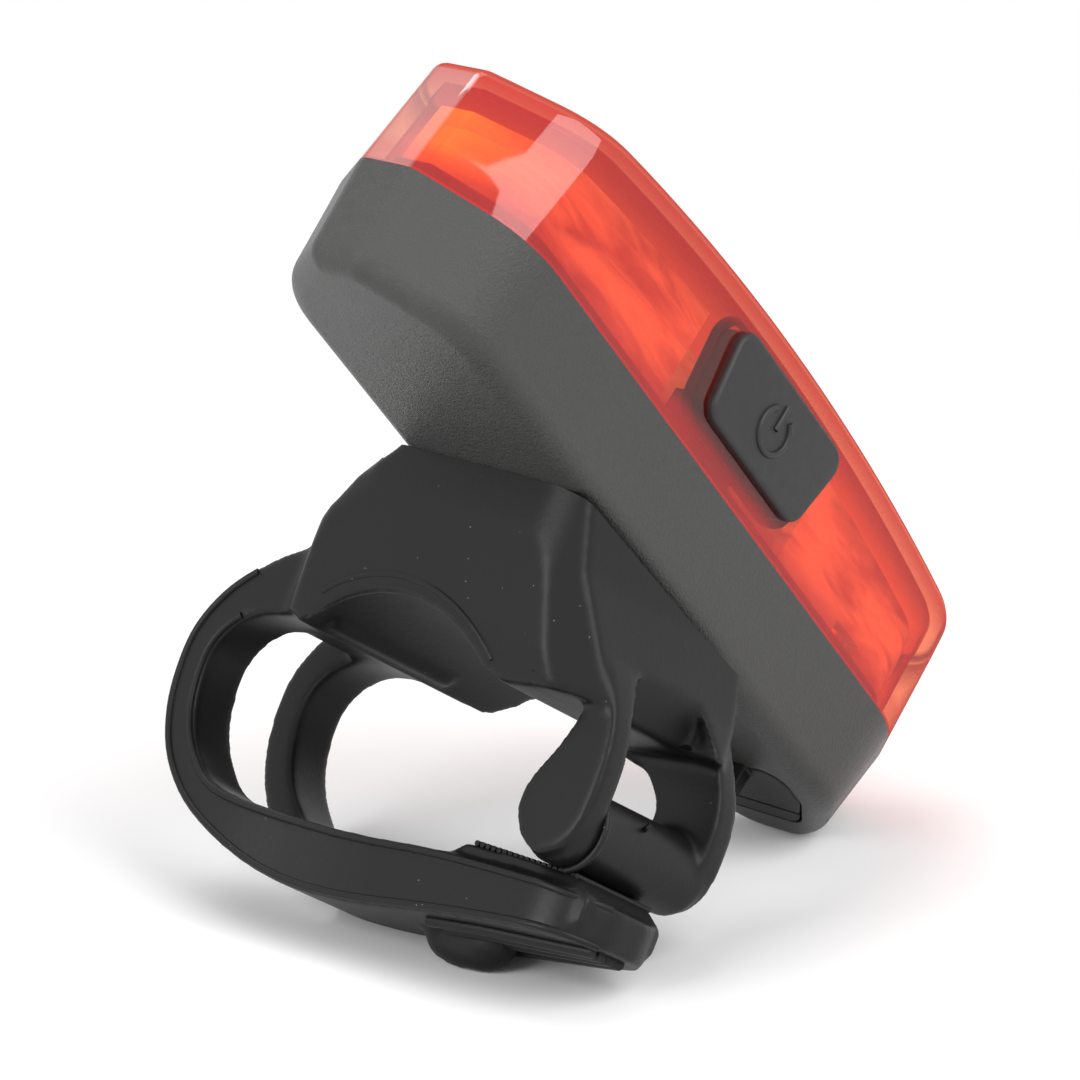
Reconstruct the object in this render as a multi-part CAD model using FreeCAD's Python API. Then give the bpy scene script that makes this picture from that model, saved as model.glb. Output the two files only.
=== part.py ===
import FreeCAD, Part
import math
import os

# Bicycle tail light on a rubber strap mount.
# Light frame, in which the light is drawn: origin on the seam plane under the middle of the lens,
# +X to the nose, +Y to the button side, +Z out of the lens.
# Strap frame: the light frame turned about Y by strap_tilt, with X along the seat post's axis.
# Each solid is placed at the end so that the light stands on its heel and on the strap, +Z up.
# All lengths are in millimetres and all angles in degrees.

# Light body
light_length = 75.0
light_width = 20.5
nose_flat = 5.0
nose_taper = 6.3
nose_corner_radius = 2.2
nose_shoulder_radius = 8.3
port_end_flat = 8.0
port_end_taper = 8.0
port_end_corner_radius = 6.2
port_end_shoulder_radius = 8.7

# Rear housing
housing_depth = 8.6
housing_draft = 5.2
housing_wall = 1.9
housing_floor = 1.5
heel_radius = 1.9

# Lens
lens_end_height = 9.7
lens_crown = 3.4
lens_draft = 2.5
lens_wall = 1.5
lens_front_bevel = 0.5

# Joint between lens and housing
rim_land = 0.6
groove_width = 0.8
groove_depth = 1.1
rim_tongue_clearance = 0.08
seal_height = 0.3

# Power button, given on the side wall of the lens
button_x = -0.4
button_back_width = 14.4
button_front_width = 17.2
button_back_z = 3.3
button_front_z = 10.9
button_corner_radius = 1.7
button_proud = 0.7
button_bevel = 0.3
button_clearance = 0.2
button_travel = 0.4
gasket_thickness = 0.9
gasket_flange = 0.9
nub_diameter = 2.4

# Circuit board and what it carries
board_bottom_z = 0.8
board_thickness = 1.0
board_clearance = 0.5
led_count = 6
led_length = 3.5
led_width = 2.8
led_height = 0.9
led_window = 2.0
led_window_depth = 0.2
led_y = -3.0
led_row_start = -22.0
led_pitch = 9.2
switch_length = 7.0
switch_depth = 3.5
switch_height = 5.0
switch_gap = 0.06
plunger_diameter = 2.2
plunger_length = 1.2
plunger_rise = 0.3
switch_play = 0.7
chip_height = 1.4
chip_chamfer = 0.25
driver_chip_x = -12.0
driver_chip_y = -2.0
driver_chip_length = 5.0
driver_chip_width = 4.0
charge_chip_x = -20.0
charge_chip_length = 3.0
resistor_count = 4
resistor_x = -17.0
resistor_y = 5.0
resistor_pitch = 2.4
resistor_length = 1.0
resistor_width = 1.8
resistor_height = 0.5
board_screw_diameter = 1.6
board_screw_length = 4.5
board_screw_head = 3.0
board_screw_head_height = 0.9
board_screw_slot = 0.4
screw_clearance = 0.4
board_boss_diameter = 3.6
board_boss_nose_x = 32.4
board_boss_port_x = -22.0
board_boss_port_y = 6.0

# Diffuser over the lamps
diffuser_gap = 0.9
diffuser_wall = 1.1
diffuser_top_drop = 3.0

# Battery
battery_length = 25.0
battery_width = 13.0
battery_thickness = 5.0
battery_end_gap = 1.1
battery_edge_radius = 1.2
battery_pad_thickness = 0.5
battery_pad_margin = 1.5
lead_diameter = 0.9
lead_bend = 1.0
lead_spacing = 3.0
lead_reach = 2.6
lead_edge_distance = 2.9

# Charging socket and its cover
socket_x = -29.0
socket_shell_width = 7.5
socket_shell_height = 2.9
socket_shell_wall = 0.3
socket_mouth_setback = 0.3
socket_back_wall = 1.0
socket_corner_radius = 0.6
socket_contact_thickness = 0.6
socket_contact_width = 4.2
socket_contact_setback = 2.2
recess_inner_x = -25.3
recess_outer_x = -33.2
recess_half_width = 6.8
recess_outer_half_width = 4.6
recess_corner_radius = 2.0
recess_depth = 1.2
recess_floor_wall = 1.3
cover_clearance = 0.2
cover_hinge_x = -31.4
cover_plug_length = 0.9
cover_plug_clearance = 0.4
cover_tab_height = 3.0
cover_tab_width = 5.0
cover_tab_thickness = 1.3
cover_tab_y = 0.6
anchor_peg_diameter = 1.2
anchor_peg_depth = 1.0

# Screw that holds the strap mount under the housing
mount_screw_x = -3.0
mount_screw_y = -3.0
mount_screw_diameter = 3.0
mount_screw_length = 5.6
mount_screw_head = 5.4
mount_screw_head_height = 1.8
mount_screw_bevel = 0.5
mount_cross_length = 3.0
mount_cross_width = 0.7
mount_cross_depth = 0.9
mount_washer_diameter = 7.4
mount_washer_thickness = 0.6
mount_insert_diameter = 4.4
mount_insert_length = 3.4
insert_clearance = 0.02
mount_boss_wall = 1.3
mount_well_clearance = 0.6
mount_seat_thickness = 1.8

# Strap mount
strap_tilt = 17.0
post_diameter = 27.2
post_y = -4.4
post_n = -27.8
pad_length = 27.2
pad_x = -0.7
band_width = 4.7
band_gap = 7.2
band_middle_s = 1.7
band_hinge_n = -23.4
band_slot_root_y = -21.6
band_slot_tongue_y = -15.0
flex_gap = 0.1
tongue_width = 11.7
tongue_middle_s = 2.15
tongue_tip_y = 19.4
tongue_tip_radius = 5.2
tongue_pad_margin = 1.2
lug_length = 10.5
lug_width = 4.5
lug_y = 3.2
lug_s = 0.8
lug_bottom_n = -39.2
long_rib_count = 4
long_rib_width = 0.9
long_rib_height = 0.45
clasp_hinge_n = -18.3
clasp_root_inner_y = 12.8
clasp_root_outer_y = 15.4
arm_width = 2.5
arm_gap = 11.8
arm_middle_s = 0.9
bar_diameter = 6.2
bar_y = 13.2
bar_n = -27.0
arc_share = 0.48
stand_point_s = 0.5
stand_point_n = -38.6

V = FreeCAD.Vector
ACROSS = V(0, 1, 0)
ALONG = V(1, 0, 0)
UP = V(0, 0, 1)
FAR = 200.0


def in_plan(z):
    """Place plan points (x, y) at the height z."""
    return lambda u, v: V(u, v, z)


def in_section(s):
    """Place strap section points (y, n) at the station s along the seat post."""
    return lambda u, v: V(s, u, v)


def in_side(y):
    """Place side points (x, z) in the plane at y."""
    return lambda u, v: V(u, y, v)


def offset_polygon(points, inset):
    """Move each side of an anticlockwise convex polygon inwards by inset."""
    moved = []
    count = len(points)
    for index in range(count):
        before = points[index - 1]
        here = points[index]
        after = points[(index + 1) % count]
        in_angle = math.atan2(here[1] - before[1], here[0] - before[0])
        out_angle = math.atan2(after[1] - here[1], after[0] - here[0])
        half_turn = (out_angle - in_angle) / 2
        middle = in_angle + half_turn + math.pi / 2
        if abs(out_angle - in_angle) > math.pi:
            middle += math.pi
        reach = inset / abs(math.cos(half_turn))
        moved.append((here[0] + reach * math.cos(middle), here[1] + reach * math.sin(middle)))
    return moved


def rounded_wire(points, radii, place):
    """Close a polygon with an arc of its own radius at each corner."""
    edges = []
    previous_end = None
    first_start = None
    count = len(points)
    for index in range(count):
        corner = V(points[index][0], points[index][1], 0)
        before = V(points[index - 1][0], points[index - 1][1], 0)
        after = V(points[(index + 1) % count][0], points[(index + 1) % count][1], 0)
        back = (before - corner).normalize()
        ahead = (after - corner).normalize()
        half = back.getAngle(ahead) / 2
        radius = radii[index]
        if radius > 0:
            reach = radius / math.tan(half)
            start = corner + back * reach
            end = corner + ahead * reach
            bisector = (back + ahead).normalize()
            centre = corner + bisector * (radius / math.sin(half))
            middle = centre - bisector * radius
            arc = Part.Arc(place(start.x, start.y), place(middle.x, middle.y), place(end.x, end.y))
        else:
            start = corner
            end = corner
            arc = None
        if previous_end is None:
            first_start = start
        else:
            edges.append(Part.makeLine(place(previous_end.x, previous_end.y), place(start.x, start.y)))
        if arc is not None:
            edges.append(arc.toShape())
        previous_end = end
    edges.append(Part.makeLine(place(previous_end.x, previous_end.y), place(first_start.x, first_start.y)))
    return Part.Wire(edges)


def prism(points, radii, place, direction):
    """Extrude a rounded polygon along a vector."""
    return Part.Face(rounded_wire(points, radii, place)).extrude(direction)


def soft_radii(points, sharp):
    """Give each corner the arc that fills most of its shorter side, apart from the sharp ones."""
    radii = []
    count = len(points)
    for index in range(count):
        corner = V(points[index][0], points[index][1], 0)
        back = V(points[index - 1][0], points[index - 1][1], 0) - corner
        ahead = V(points[(index + 1) % count][0], points[(index + 1) % count][1], 0) - corner
        reach = arc_share * min(back.Length, ahead.Length)
        half = back.getAngle(ahead) / 2
        radii.append(0 if index in sharp else reach * math.tan(half))
    return radii


def body_outline(inset, z):
    """Outline of the light, seen from the front, drawn in by inset at the height z."""
    half_length = light_length / 2
    half_width = light_width / 2
    nose_x = half_length - nose_taper
    port_x = port_end_taper - half_length
    points = [
        (half_length, -nose_flat / 2),
        (half_length, nose_flat / 2),
        (nose_x, half_width),
        (port_x, half_width),
        (-half_length, port_end_flat / 2),
        (-half_length, -port_end_flat / 2),
        (port_x, -half_width),
        (nose_x, -half_width),
    ]
    radii = [
        nose_corner_radius,
        nose_corner_radius,
        nose_shoulder_radius,
        port_end_shoulder_radius,
        port_end_corner_radius,
        port_end_corner_radius,
        port_end_shoulder_radius,
        nose_shoulder_radius,
    ]
    radii = [max(radius - inset, 0.3) for radius in radii]
    return rounded_wire(offset_polygon(points, inset), radii, in_plan(z))


def tapered_body(low_inset, low_z, high_inset, high_z):
    """Loft between two outlines of the light."""
    return Part.makeLoft([body_outline(low_inset, low_z), body_outline(high_inset, high_z)], True, True)


def edges_at(shape, test):
    """Pick the edges whose centre passes a test."""
    return [edge for edge in shape.Edges if test(edge)]


def crown_block(drop):
    """Block whose curved top is the front of the lens lowered by drop."""
    half_length = light_length / 2
    top = lens_end_height + lens_crown
    radius = (half_length ** 2 + lens_crown ** 2) / (2 * lens_crown)
    width = light_width + 10
    start = V(0, -width / 2, top - radius)
    cylinder = Part.makeCylinder(radius - drop, width, start, ACROSS)
    low = Part.makeBox(light_length + 10, width, 3 * top, V(-light_length / 2 - 5, -width / 2, -top))
    return cylinder.common(low)


def strap_to_light(shape):
    """Turn a solid from the strap frame into the light frame."""
    turned = shape.copy()
    turned.rotate(V(0, 0, 0), ACROSS, strap_tilt)
    return turned


def strap_point(s, n):
    """Give the light frame's (x, z) of a point of the strap frame."""
    angle = math.radians(strap_tilt)
    return (
        s * math.cos(angle) + n * math.sin(angle),
        n * math.cos(angle) - s * math.sin(angle),
    )


back_z = -housing_depth
back_inset = housing_depth * math.tan(math.radians(housing_draft))
lens_slope = math.tan(math.radians(lens_draft))
board_top_z = board_bottom_z + board_thickness
cavity_z = back_z + housing_floor
recess_z = back_z + recess_depth
recess_ceiling_z = recess_z + recess_floor_wall
battery_port_side_x = board_boss_nose_x - board_boss_diameter / 2 - battery_end_gap - battery_length
battery_low_z = cavity_z + battery_pad_thickness
lead_y = battery_width / 2 - lead_edge_distance
socket_mouth_z = recess_z + socket_mouth_setback
anchor_x = (cover_hinge_x + recess_outer_x + cover_clearance) / 2
plunger_z = board_top_z + switch_height / 2 + plunger_rise
gasket_back_y = light_width / 2 - button_back_z * lens_slope - lens_wall - gasket_thickness
switch_face_y = gasket_back_y - plunger_length - switch_play
seat_z = back_z - mount_seat_thickness
washer_z = seat_z - mount_washer_thickness
low_band_s = band_middle_s - band_gap / 2 - band_width
high_band_s = band_middle_s + band_gap / 2 + band_width
low_arm_s = arm_middle_s - arm_gap / 2 - arm_width
high_arm_s = arm_middle_s + arm_gap / 2 + arm_width

# Heel, where the light stands, and the tilt at which the heel and the strap both touch the floor
heel_z = back_z + heel_radius
wall_slope = math.tan(math.radians(housing_draft))
heel_x = -light_length / 2 - heel_z * wall_slope + heel_radius * math.hypot(1, wall_slope)
stand_x, stand_z = strap_point(stand_point_s, stand_point_n)
stand_run = math.hypot(stand_x - heel_x, stand_z - heel_z)
stand_tilt = math.degrees(math.atan2(heel_z - stand_z, stand_x - heel_x) - math.asin(heel_radius / stand_run))


def floor_cutter():
    """Block below the floor, in the light frame, with its top on the floor."""
    block = Part.makeBox(2 * FAR, 2 * FAR, FAR, V(-FAR, -FAR, -FAR))
    block.rotate(V(0, 0, 0), ACROSS, stand_tilt)
    angle = math.radians(stand_tilt)
    up = V(math.sin(angle), 0, math.cos(angle))
    height = up.x * heel_x + up.z * heel_z - heel_radius
    block.translate(up * height)
    return block


def button_outline(grow):
    """Corners of the button on the lens wall, from its back edge round to its front edge."""
    half_back = button_back_width / 2 + grow
    half_front = button_front_width / 2 + grow
    return [
        (button_x - half_back, button_back_z - grow),
        (button_x + half_back, button_back_z - grow),
        (button_x + half_front, button_front_z + grow),
        (button_x - half_front, button_front_z + grow),
    ]


def button_prism(grow, low_y, high_y):
    """Block with the button's outline, between two planes across the light."""
    radii = [button_corner_radius + grow] * 4
    return prism(button_outline(grow), radii, in_side(low_y), V(0, high_y - low_y, 0))


def recess_outline(inset):
    """Outline of the charging socket's recess in the back."""
    middle_x = (recess_inner_x + recess_outer_x) / 2
    return [
        (recess_inner_x - inset, recess_half_width - inset),
        (middle_x, recess_half_width - inset),
        (recess_outer_x + inset, recess_outer_half_width - inset),
        (recess_outer_x + inset, inset - recess_outer_half_width),
        (middle_x, inset - recess_half_width),
        (recess_inner_x - inset, inset - recess_half_width),
    ]


def recess_block(inset, low_z, high_z):
    """Block with the recess's outline between two heights."""
    radii = [recess_corner_radius] * 6
    return prism(recess_outline(inset), radii, in_plan(low_z), V(0, 0, high_z - low_z))


def socket_block(grow, low_z, high_z):
    """Rounded block of the charging socket's shell."""
    half_x = socket_shell_height / 2 + grow
    half_y = socket_shell_width / 2 + grow
    points = [
        (socket_x - half_x, -half_y),
        (socket_x + half_x, -half_y),
        (socket_x + half_x, half_y),
        (socket_x - half_x, half_y),
    ]
    radii = [max(socket_corner_radius + grow, 0.3)] * 4
    return prism(points, radii, in_plan(low_z), V(0, 0, high_z - low_z))


def board_screw_places():
    """Plan positions of the circuit board's screws."""
    return [
        (board_boss_nose_x, 0.0),
        (board_boss_port_x, board_boss_port_y),
        (board_boss_port_x, -board_boss_port_y),
    ]


def make_rear_housing():
    shell = tapered_body(back_inset, back_z, 0, 0)
    back_edges = edges_at(shell, lambda edge: edge.BoundBox.ZMax < back_z + 0.01)
    shell = shell.makeFillet(heel_radius, back_edges)
    floor_inset = housing_wall + back_inset * (1 - housing_floor / housing_depth)
    shell = shell.cut(tapered_body(floor_inset, cavity_z, housing_wall, 0))
    shell = shell.fuse(recess_block(-recess_floor_wall, cavity_z - 0.2, recess_ceiling_z))
    shell = shell.common(tapered_body(back_inset, back_z, 0, 0))
    for x, y in board_screw_places():
        height = board_bottom_z - cavity_z + 0.2
        boss = Part.makeCylinder(board_boss_diameter / 2, height, V(x, y, cavity_z - 0.2))
        shell = shell.fuse(boss)
    boss_radius = mount_insert_diameter / 2 + mount_boss_wall
    insert_top = back_z + mount_insert_length + 0.6
    boss = Part.makeCylinder(boss_radius, insert_top - cavity_z + 0.2, V(mount_screw_x, mount_screw_y, cavity_z - 0.2))
    shell = shell.fuse(boss)
    groove = tapered_body(rim_land, -groove_depth, rim_land, 0)
    groove = groove.cut(tapered_body(rim_land + groove_width, -groove_depth, rim_land + groove_width, 0))
    shell = shell.cut(groove)
    for x, y in board_screw_places():
        hole = Part.makeCylinder(board_screw_diameter / 2, board_screw_length, V(x, y, board_bottom_z - board_screw_length))
        shell = shell.cut(hole)
    hole_radius = mount_insert_diameter / 2 + insert_clearance
    hole = Part.makeCylinder(hole_radius, mount_insert_length, V(mount_screw_x, mount_screw_y, back_z))
    shell = shell.cut(hole)
    shell = shell.cut(recess_block(0, back_z, recess_z))
    shell = shell.cut(socket_block(0.1, back_z, recess_ceiling_z + 0.1))
    peg = Part.makeCylinder(anchor_peg_diameter / 2, anchor_peg_depth, V(anchor_x, 0, recess_z))
    shell = shell.cut(peg)
    return shell.removeSplitter()


def make_lens():
    top = lens_end_height + lens_crown + 2
    outer = tapered_body(0, 0, top * lens_slope, top).common(crown_block(0))
    front_edges = edges_at(outer, lambda edge: edge.BoundBox.ZMin > lens_end_height - 1)
    outer = outer.makeChamfer(lens_front_bevel, front_edges)
    inner = tapered_body(lens_wall, 0, lens_wall + top * lens_slope, top).common(crown_block(lens_wall))
    lens = outer.cut(inner)
    inset = rim_land + rim_tongue_clearance
    tongue_wide = groove_width - 2 * rim_tongue_clearance
    length = groove_depth - seal_height
    tongue = tapered_body(inset, -length, inset, 0)
    tongue = tongue.cut(tapered_body(inset + tongue_wide, -length, inset + tongue_wide, 0))
    lens = lens.fuse(tongue)
    lens = lens.cut(button_prism(button_clearance, 0, light_width))
    return lens.removeSplitter()


def make_perimeter_seal():
    inset = rim_land + rim_tongue_clearance
    wide = groove_width - 2 * rim_tongue_clearance
    ring = tapered_body(inset, -groove_depth, inset, seal_height - groove_depth)
    return ring.cut(tapered_body(inset + wide, -groove_depth, inset + wide, seal_height - groove_depth))


def wall_y(z):
    """Outer face of the lens wall at the height z."""
    return light_width / 2 - z * lens_slope


def make_power_button():
    inner_y = wall_y(button_front_z) - lens_wall - gasket_thickness
    pad = button_prism(0, inner_y, light_width)
    face = Part.makeBox(light_length, light_width, 4 * light_width, V(-light_length / 2, 0, -2 * light_width))
    face.rotate(V(0, 0, 0), ALONG, lens_draft)
    face.translate(V(0, light_width / 2 + button_proud, 0))
    pad = pad.cut(face)
    rim = edges_at(pad, lambda edge: edge.BoundBox.YMin > wall_y(0) - 0.5)
    pad = pad.makeChamfer(button_bevel, rim)
    nub_y = switch_face_y + plunger_length + switch_gap
    nub = Part.makeCylinder(nub_diameter / 2, inner_y - nub_y + 0.1, V(button_x, nub_y, plunger_z), ACROSS)
    return pad.fuse(nub).removeSplitter()


def make_button_gasket():
    outer = button_prism(gasket_flange, 0, light_width)
    top = lens_end_height + lens_crown + 2
    wall = tapered_body(lens_wall, 0, lens_wall + top * lens_slope, top)
    behind = lens_wall + gasket_thickness
    room = tapered_body(behind, 0, behind + top * lens_slope, top)
    ring = wall.cut(room).common(outer).common(crown_block(lens_wall + 0.1))
    trim = Part.makeBox(light_length, light_width, light_width, V(-light_length / 2, 0, board_top_z + 0.1))
    ring = ring.common(trim)
    return ring.cut(button_prism(button_clearance, 0, light_width))


def make_tactile_switch():
    corner = V(button_x - switch_length / 2, switch_face_y - switch_depth, board_top_z)
    body = Part.makeBox(switch_length, switch_depth, switch_height, corner)
    bore = Part.makeCylinder(plunger_diameter / 2 + 0.05, button_travel + 0.3,
                             V(button_x, switch_face_y - button_travel - 0.3, plunger_z), ACROSS)
    return body.cut(bore)


def make_switch_plunger():
    start = V(button_x, switch_face_y - 0.25, plunger_z)
    plunger = Part.makeCylinder(plunger_diameter / 2, plunger_length + 0.25, start, ACROSS)
    return plunger


def make_circuit_board():
    inset = lens_wall + board_clearance
    board = tapered_body(inset, board_bottom_z, inset, board_top_z)
    for x, y in board_screw_places():
        board = board.cut(Part.makeCylinder(board_screw_diameter / 2 + 0.1, board_thickness, V(x, y, board_bottom_z)))
    return board


def make_led_chips():
    chips = []
    for index in range(led_count):
        x = led_row_start + index * led_pitch
        corner = V(x - led_length / 2, led_y - led_width / 2, board_top_z)
        chip = Part.makeBox(led_length, led_width, led_height, corner)
        pocket_corner = V(x - led_window / 2, led_y - led_window / 2, board_top_z + led_height - led_window_depth)
        chips.append(chip.cut(Part.makeBox(led_window, led_window, led_window_depth, pocket_corner)))
    return Part.makeCompound(chips)


def make_chip(x, y, length, width):
    """Surface-mounted chip under the board."""
    corner = V(x - length / 2, y - width / 2, board_bottom_z - chip_height)
    chip = Part.makeBox(length, width, chip_height, corner)
    low_edges = edges_at(chip, lambda edge: edge.BoundBox.ZMax < board_bottom_z - chip_height + 0.01)
    return chip.makeChamfer(chip_chamfer, low_edges)


def make_chip_resistors():
    solids = []
    for index in range(resistor_count):
        corner = V(resistor_x + resistor_pitch * index, resistor_y, board_bottom_z - resistor_height)
        solids.append(Part.makeBox(resistor_length, resistor_width, resistor_height, corner))
    return Part.makeCompound(solids)


def diffuser_block(inset, drop):
    """Solid inside the lens with a crowned top."""
    top = lens_end_height + lens_crown + 2
    block = tapered_body(inset, board_top_z, inset + (top - board_top_z) * lens_slope, top)
    return block.common(crown_block(drop))


def make_diffuser():
    outer = diffuser_block(lens_wall + diffuser_gap, diffuser_top_drop)
    inner = diffuser_block(lens_wall + diffuser_gap + diffuser_wall, diffuser_top_drop + diffuser_wall)
    tray = outer.cut(inner)
    notch_half = button_front_width / 2 + gasket_flange + 0.6
    notch_low = switch_face_y - switch_depth - 0.6
    notch = Part.makeBox(2 * notch_half, light_width, light_width, V(button_x - notch_half, notch_low, 0))
    tray = tray.cut(notch)
    wall = Part.makeBox(2 * notch_half, diffuser_wall, light_width,
                        V(button_x - notch_half, notch_low - diffuser_wall, board_top_z))
    tray = tray.fuse(wall.common(outer))
    screw_room = board_screw_head + 2 * screw_clearance
    for x, y in board_screw_places():
        corner = V(x - screw_room / 2, y - screw_room / 2, board_top_z)
        tray = tray.cut(Part.makeBox(screw_room, screw_room, board_screw_head_height + screw_clearance, corner))
    return tray.removeSplitter()


def make_battery_pad():
    length = battery_length - 2 * battery_pad_margin
    width = battery_width - 2 * battery_pad_margin
    corner = V(battery_port_side_x + battery_pad_margin, -width / 2, cavity_z)
    return Part.makeBox(length, width, battery_pad_thickness, corner)


def make_battery():
    corner = V(battery_port_side_x, -battery_width / 2, battery_low_z)
    cell = Part.makeBox(battery_length, battery_width, battery_thickness, corner)
    lengthwise = edges_at(cell, lambda edge: edge.BoundBox.XLength > battery_length - 0.1)
    return cell.makeFillet(battery_edge_radius, lengthwise)


def make_battery_leads():
    """Two insulated wires that leave the cell's end and turn up into the board."""
    wires = []
    low = battery_low_z + battery_thickness / 2
    turn_x = battery_port_side_x - lead_reach
    for side in (-1, 1):
        y = side * lead_spacing / 2 + lead_y
        path = Part.makePolygon([
            V(battery_port_side_x, y, low),
            V(turn_x + lead_bend, y, low),
            V(turn_x, y, low + lead_bend),
            V(turn_x, y, board_bottom_z),
        ])
        section = Part.Wire(Part.makeCircle(lead_diameter / 2, V(battery_port_side_x, y, low), ALONG))
        wires.append(path.makePipeShell([section], True, True, 1))
    return Part.makeCompound(wires)


def make_board_screws():
    screws = []
    for x, y in board_screw_places():
        shank = Part.makeCylinder(board_screw_diameter / 2 - 0.05, board_screw_length - 0.3 + board_thickness,
                                  V(x, y, board_bottom_z - board_screw_length + 0.3))
        head = Part.makeCylinder(board_screw_head / 2, board_screw_head_height, V(x, y, board_top_z))
        corner = V(x - board_screw_head / 2, y - board_screw_slot / 2, board_top_z + board_screw_head_height - board_screw_slot)
        slot = Part.makeBox(board_screw_head, board_screw_slot, board_screw_slot, corner)
        screws.append(shank.fuse(head).cut(slot).removeSplitter())
    return Part.makeCompound(screws)


def make_usb_socket():
    shell = socket_block(0, socket_mouth_z, board_bottom_z)
    return shell.cut(socket_block(-socket_shell_wall, socket_mouth_z, board_bottom_z - socket_back_wall))


def make_usb_contacts():
    low_z = socket_mouth_z + socket_contact_setback
    depth = board_bottom_z - socket_back_wall - low_z
    corner = V(socket_x - socket_contact_thickness / 2, -socket_contact_width / 2, low_z)
    return Part.makeBox(socket_contact_thickness, socket_contact_width, depth, corner)


def make_port_cover():
    plate = recess_block(cover_clearance, back_z, recess_z)
    keep = Part.makeBox(FAR, 2 * FAR, 2 * FAR, V(cover_hinge_x + flex_gap / 2, -FAR, -FAR))
    plate = plate.common(keep)
    grow = -socket_shell_wall - cover_plug_clearance
    plug = socket_block(grow, recess_z - 0.1, recess_z + cover_plug_length)
    tab_x = recess_inner_x - cover_clearance - cover_tab_thickness
    corner = V(tab_x, cover_tab_y - cover_tab_width / 2, back_z - cover_tab_height)
    tab = Part.makeBox(cover_tab_thickness, cover_tab_width, cover_tab_height + 0.1, corner)
    tips = edges_at(tab, lambda edge: edge.BoundBox.ZMax < back_z - cover_tab_height + 0.01)
    tab = tab.makeFillet(0.5, tips)
    return plate.fuse(plug).fuse(tab).removeSplitter()


def make_cover_anchor():
    plate = recess_block(cover_clearance, back_z, recess_z)
    keep = Part.makeBox(FAR, 2 * FAR, 2 * FAR, V(cover_hinge_x - flex_gap / 2 - FAR, -FAR, -FAR))
    plate = plate.common(keep)
    peg = Part.makeCylinder(anchor_peg_diameter / 2 - 0.05, anchor_peg_depth, V(anchor_x, 0, recess_z - 0.1))
    return plate.fuse(peg).removeSplitter()


def make_mount_insert():
    sleeve = Part.makeCylinder(mount_insert_diameter / 2, mount_insert_length, V(mount_screw_x, mount_screw_y, back_z))
    bore = Part.makeCylinder(mount_screw_diameter / 2 + 0.02, mount_insert_length, V(mount_screw_x, mount_screw_y, back_z))
    return sleeve.cut(bore)


def make_mount_washer():
    at = V(mount_screw_x, mount_screw_y, washer_z)
    ring = Part.makeCylinder(mount_washer_diameter / 2, mount_washer_thickness, at)
    return ring.cut(Part.makeCylinder(mount_screw_diameter / 2 + 0.15, mount_washer_thickness, at))


def make_mount_screw():
    head_z = washer_z - mount_screw_head_height
    head = Part.makeCylinder(mount_screw_head / 2, mount_screw_head_height, V(mount_screw_x, mount_screw_y, head_z))
    head = head.makeChamfer(mount_screw_bevel, edges_at(head, lambda edge: edge.BoundBox.ZMax < head_z + 0.01))
    shank = Part.makeCylinder(mount_screw_diameter / 2, mount_screw_length, V(mount_screw_x, mount_screw_y, washer_z))
    corner = V(mount_screw_x - mount_cross_length / 2, mount_screw_y - mount_cross_width / 2, head_z)
    cross = Part.makeBox(mount_cross_length, mount_cross_width, mount_cross_depth, corner)
    screw = head.fuse(shank).cut(cross)
    cross.rotate(V(mount_screw_x, mount_screw_y, head_z), UP, 90)
    return screw.cut(cross).removeSplitter()


# Outer and inner lines of the far bands in the strap section (y, n), from the flank to the far bend
band_outer_upper = [(-15.0, -12.2), (-17.2, -13.9), (-20.8, -15.4), (-24.4, -17.9), (-26.4, -20.8), (-26.9, -23.4)]
band_inner_upper = [(-24.3, -23.4), (-23.4, -20.9), (-21.2, -19.3), (-18.2, -18.6), (-15.0, -18.6)]
# The same lines from the far bend along the tongue to its tip
band_outer_lower = [(-26.9, -23.4), (-26.2, -28.0), (-23.9, -31.9), (-19.6, -35.0), (-12.8, -37.2), (-5.3, -37.4),
                    (6.8, -35.7), (tongue_tip_y, -34.3)]
band_inner_lower = [(tongue_tip_y, -31.4), (14.0, -31.1), (3.4, -31.5), (-7.0, -32.5), (-17.4, -32.7), (-21.2, -30.8),
                    (-23.6, -27.6), (-24.3, -23.4)]
# Raised pad on the tongue's inner face
tongue_pad_top = [(3.4, -32.2), (5.0, -30.8), (11.0, -30.5), (15.5, -30.6), (tongue_tip_y - 1.6, -31.6)]


def band_solid(outer, inner, low_s, high_s):
    """Extrude the area between an outer and an inner line from one station to another."""
    points = outer + inner
    sharp = (0, len(outer) - 1, len(outer), len(points) - 1)
    return prism(points, soft_radii(points, sharp), in_section(low_s), V(high_s - low_s, 0, 0))


def band_slot(end_y):
    """Gap between the two bands, with a round end."""
    low = band_middle_s - band_gap / 2
    box = Part.makeBox(band_gap, FAR, 2 * FAR, V(low, end_y - FAR, -FAR))
    return box.fuse(Part.makeCylinder(band_gap / 2, 2 * FAR, V(band_middle_s, end_y, -FAR)))


def back_plane_cutter():
    """Block above the housing's back, in the strap frame."""
    block = Part.makeBox(2 * FAR, 2 * FAR, FAR, V(-FAR, -FAR, back_z))
    block.rotate(V(0, 0, 0), ACROSS, -strap_tilt)
    return block


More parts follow.
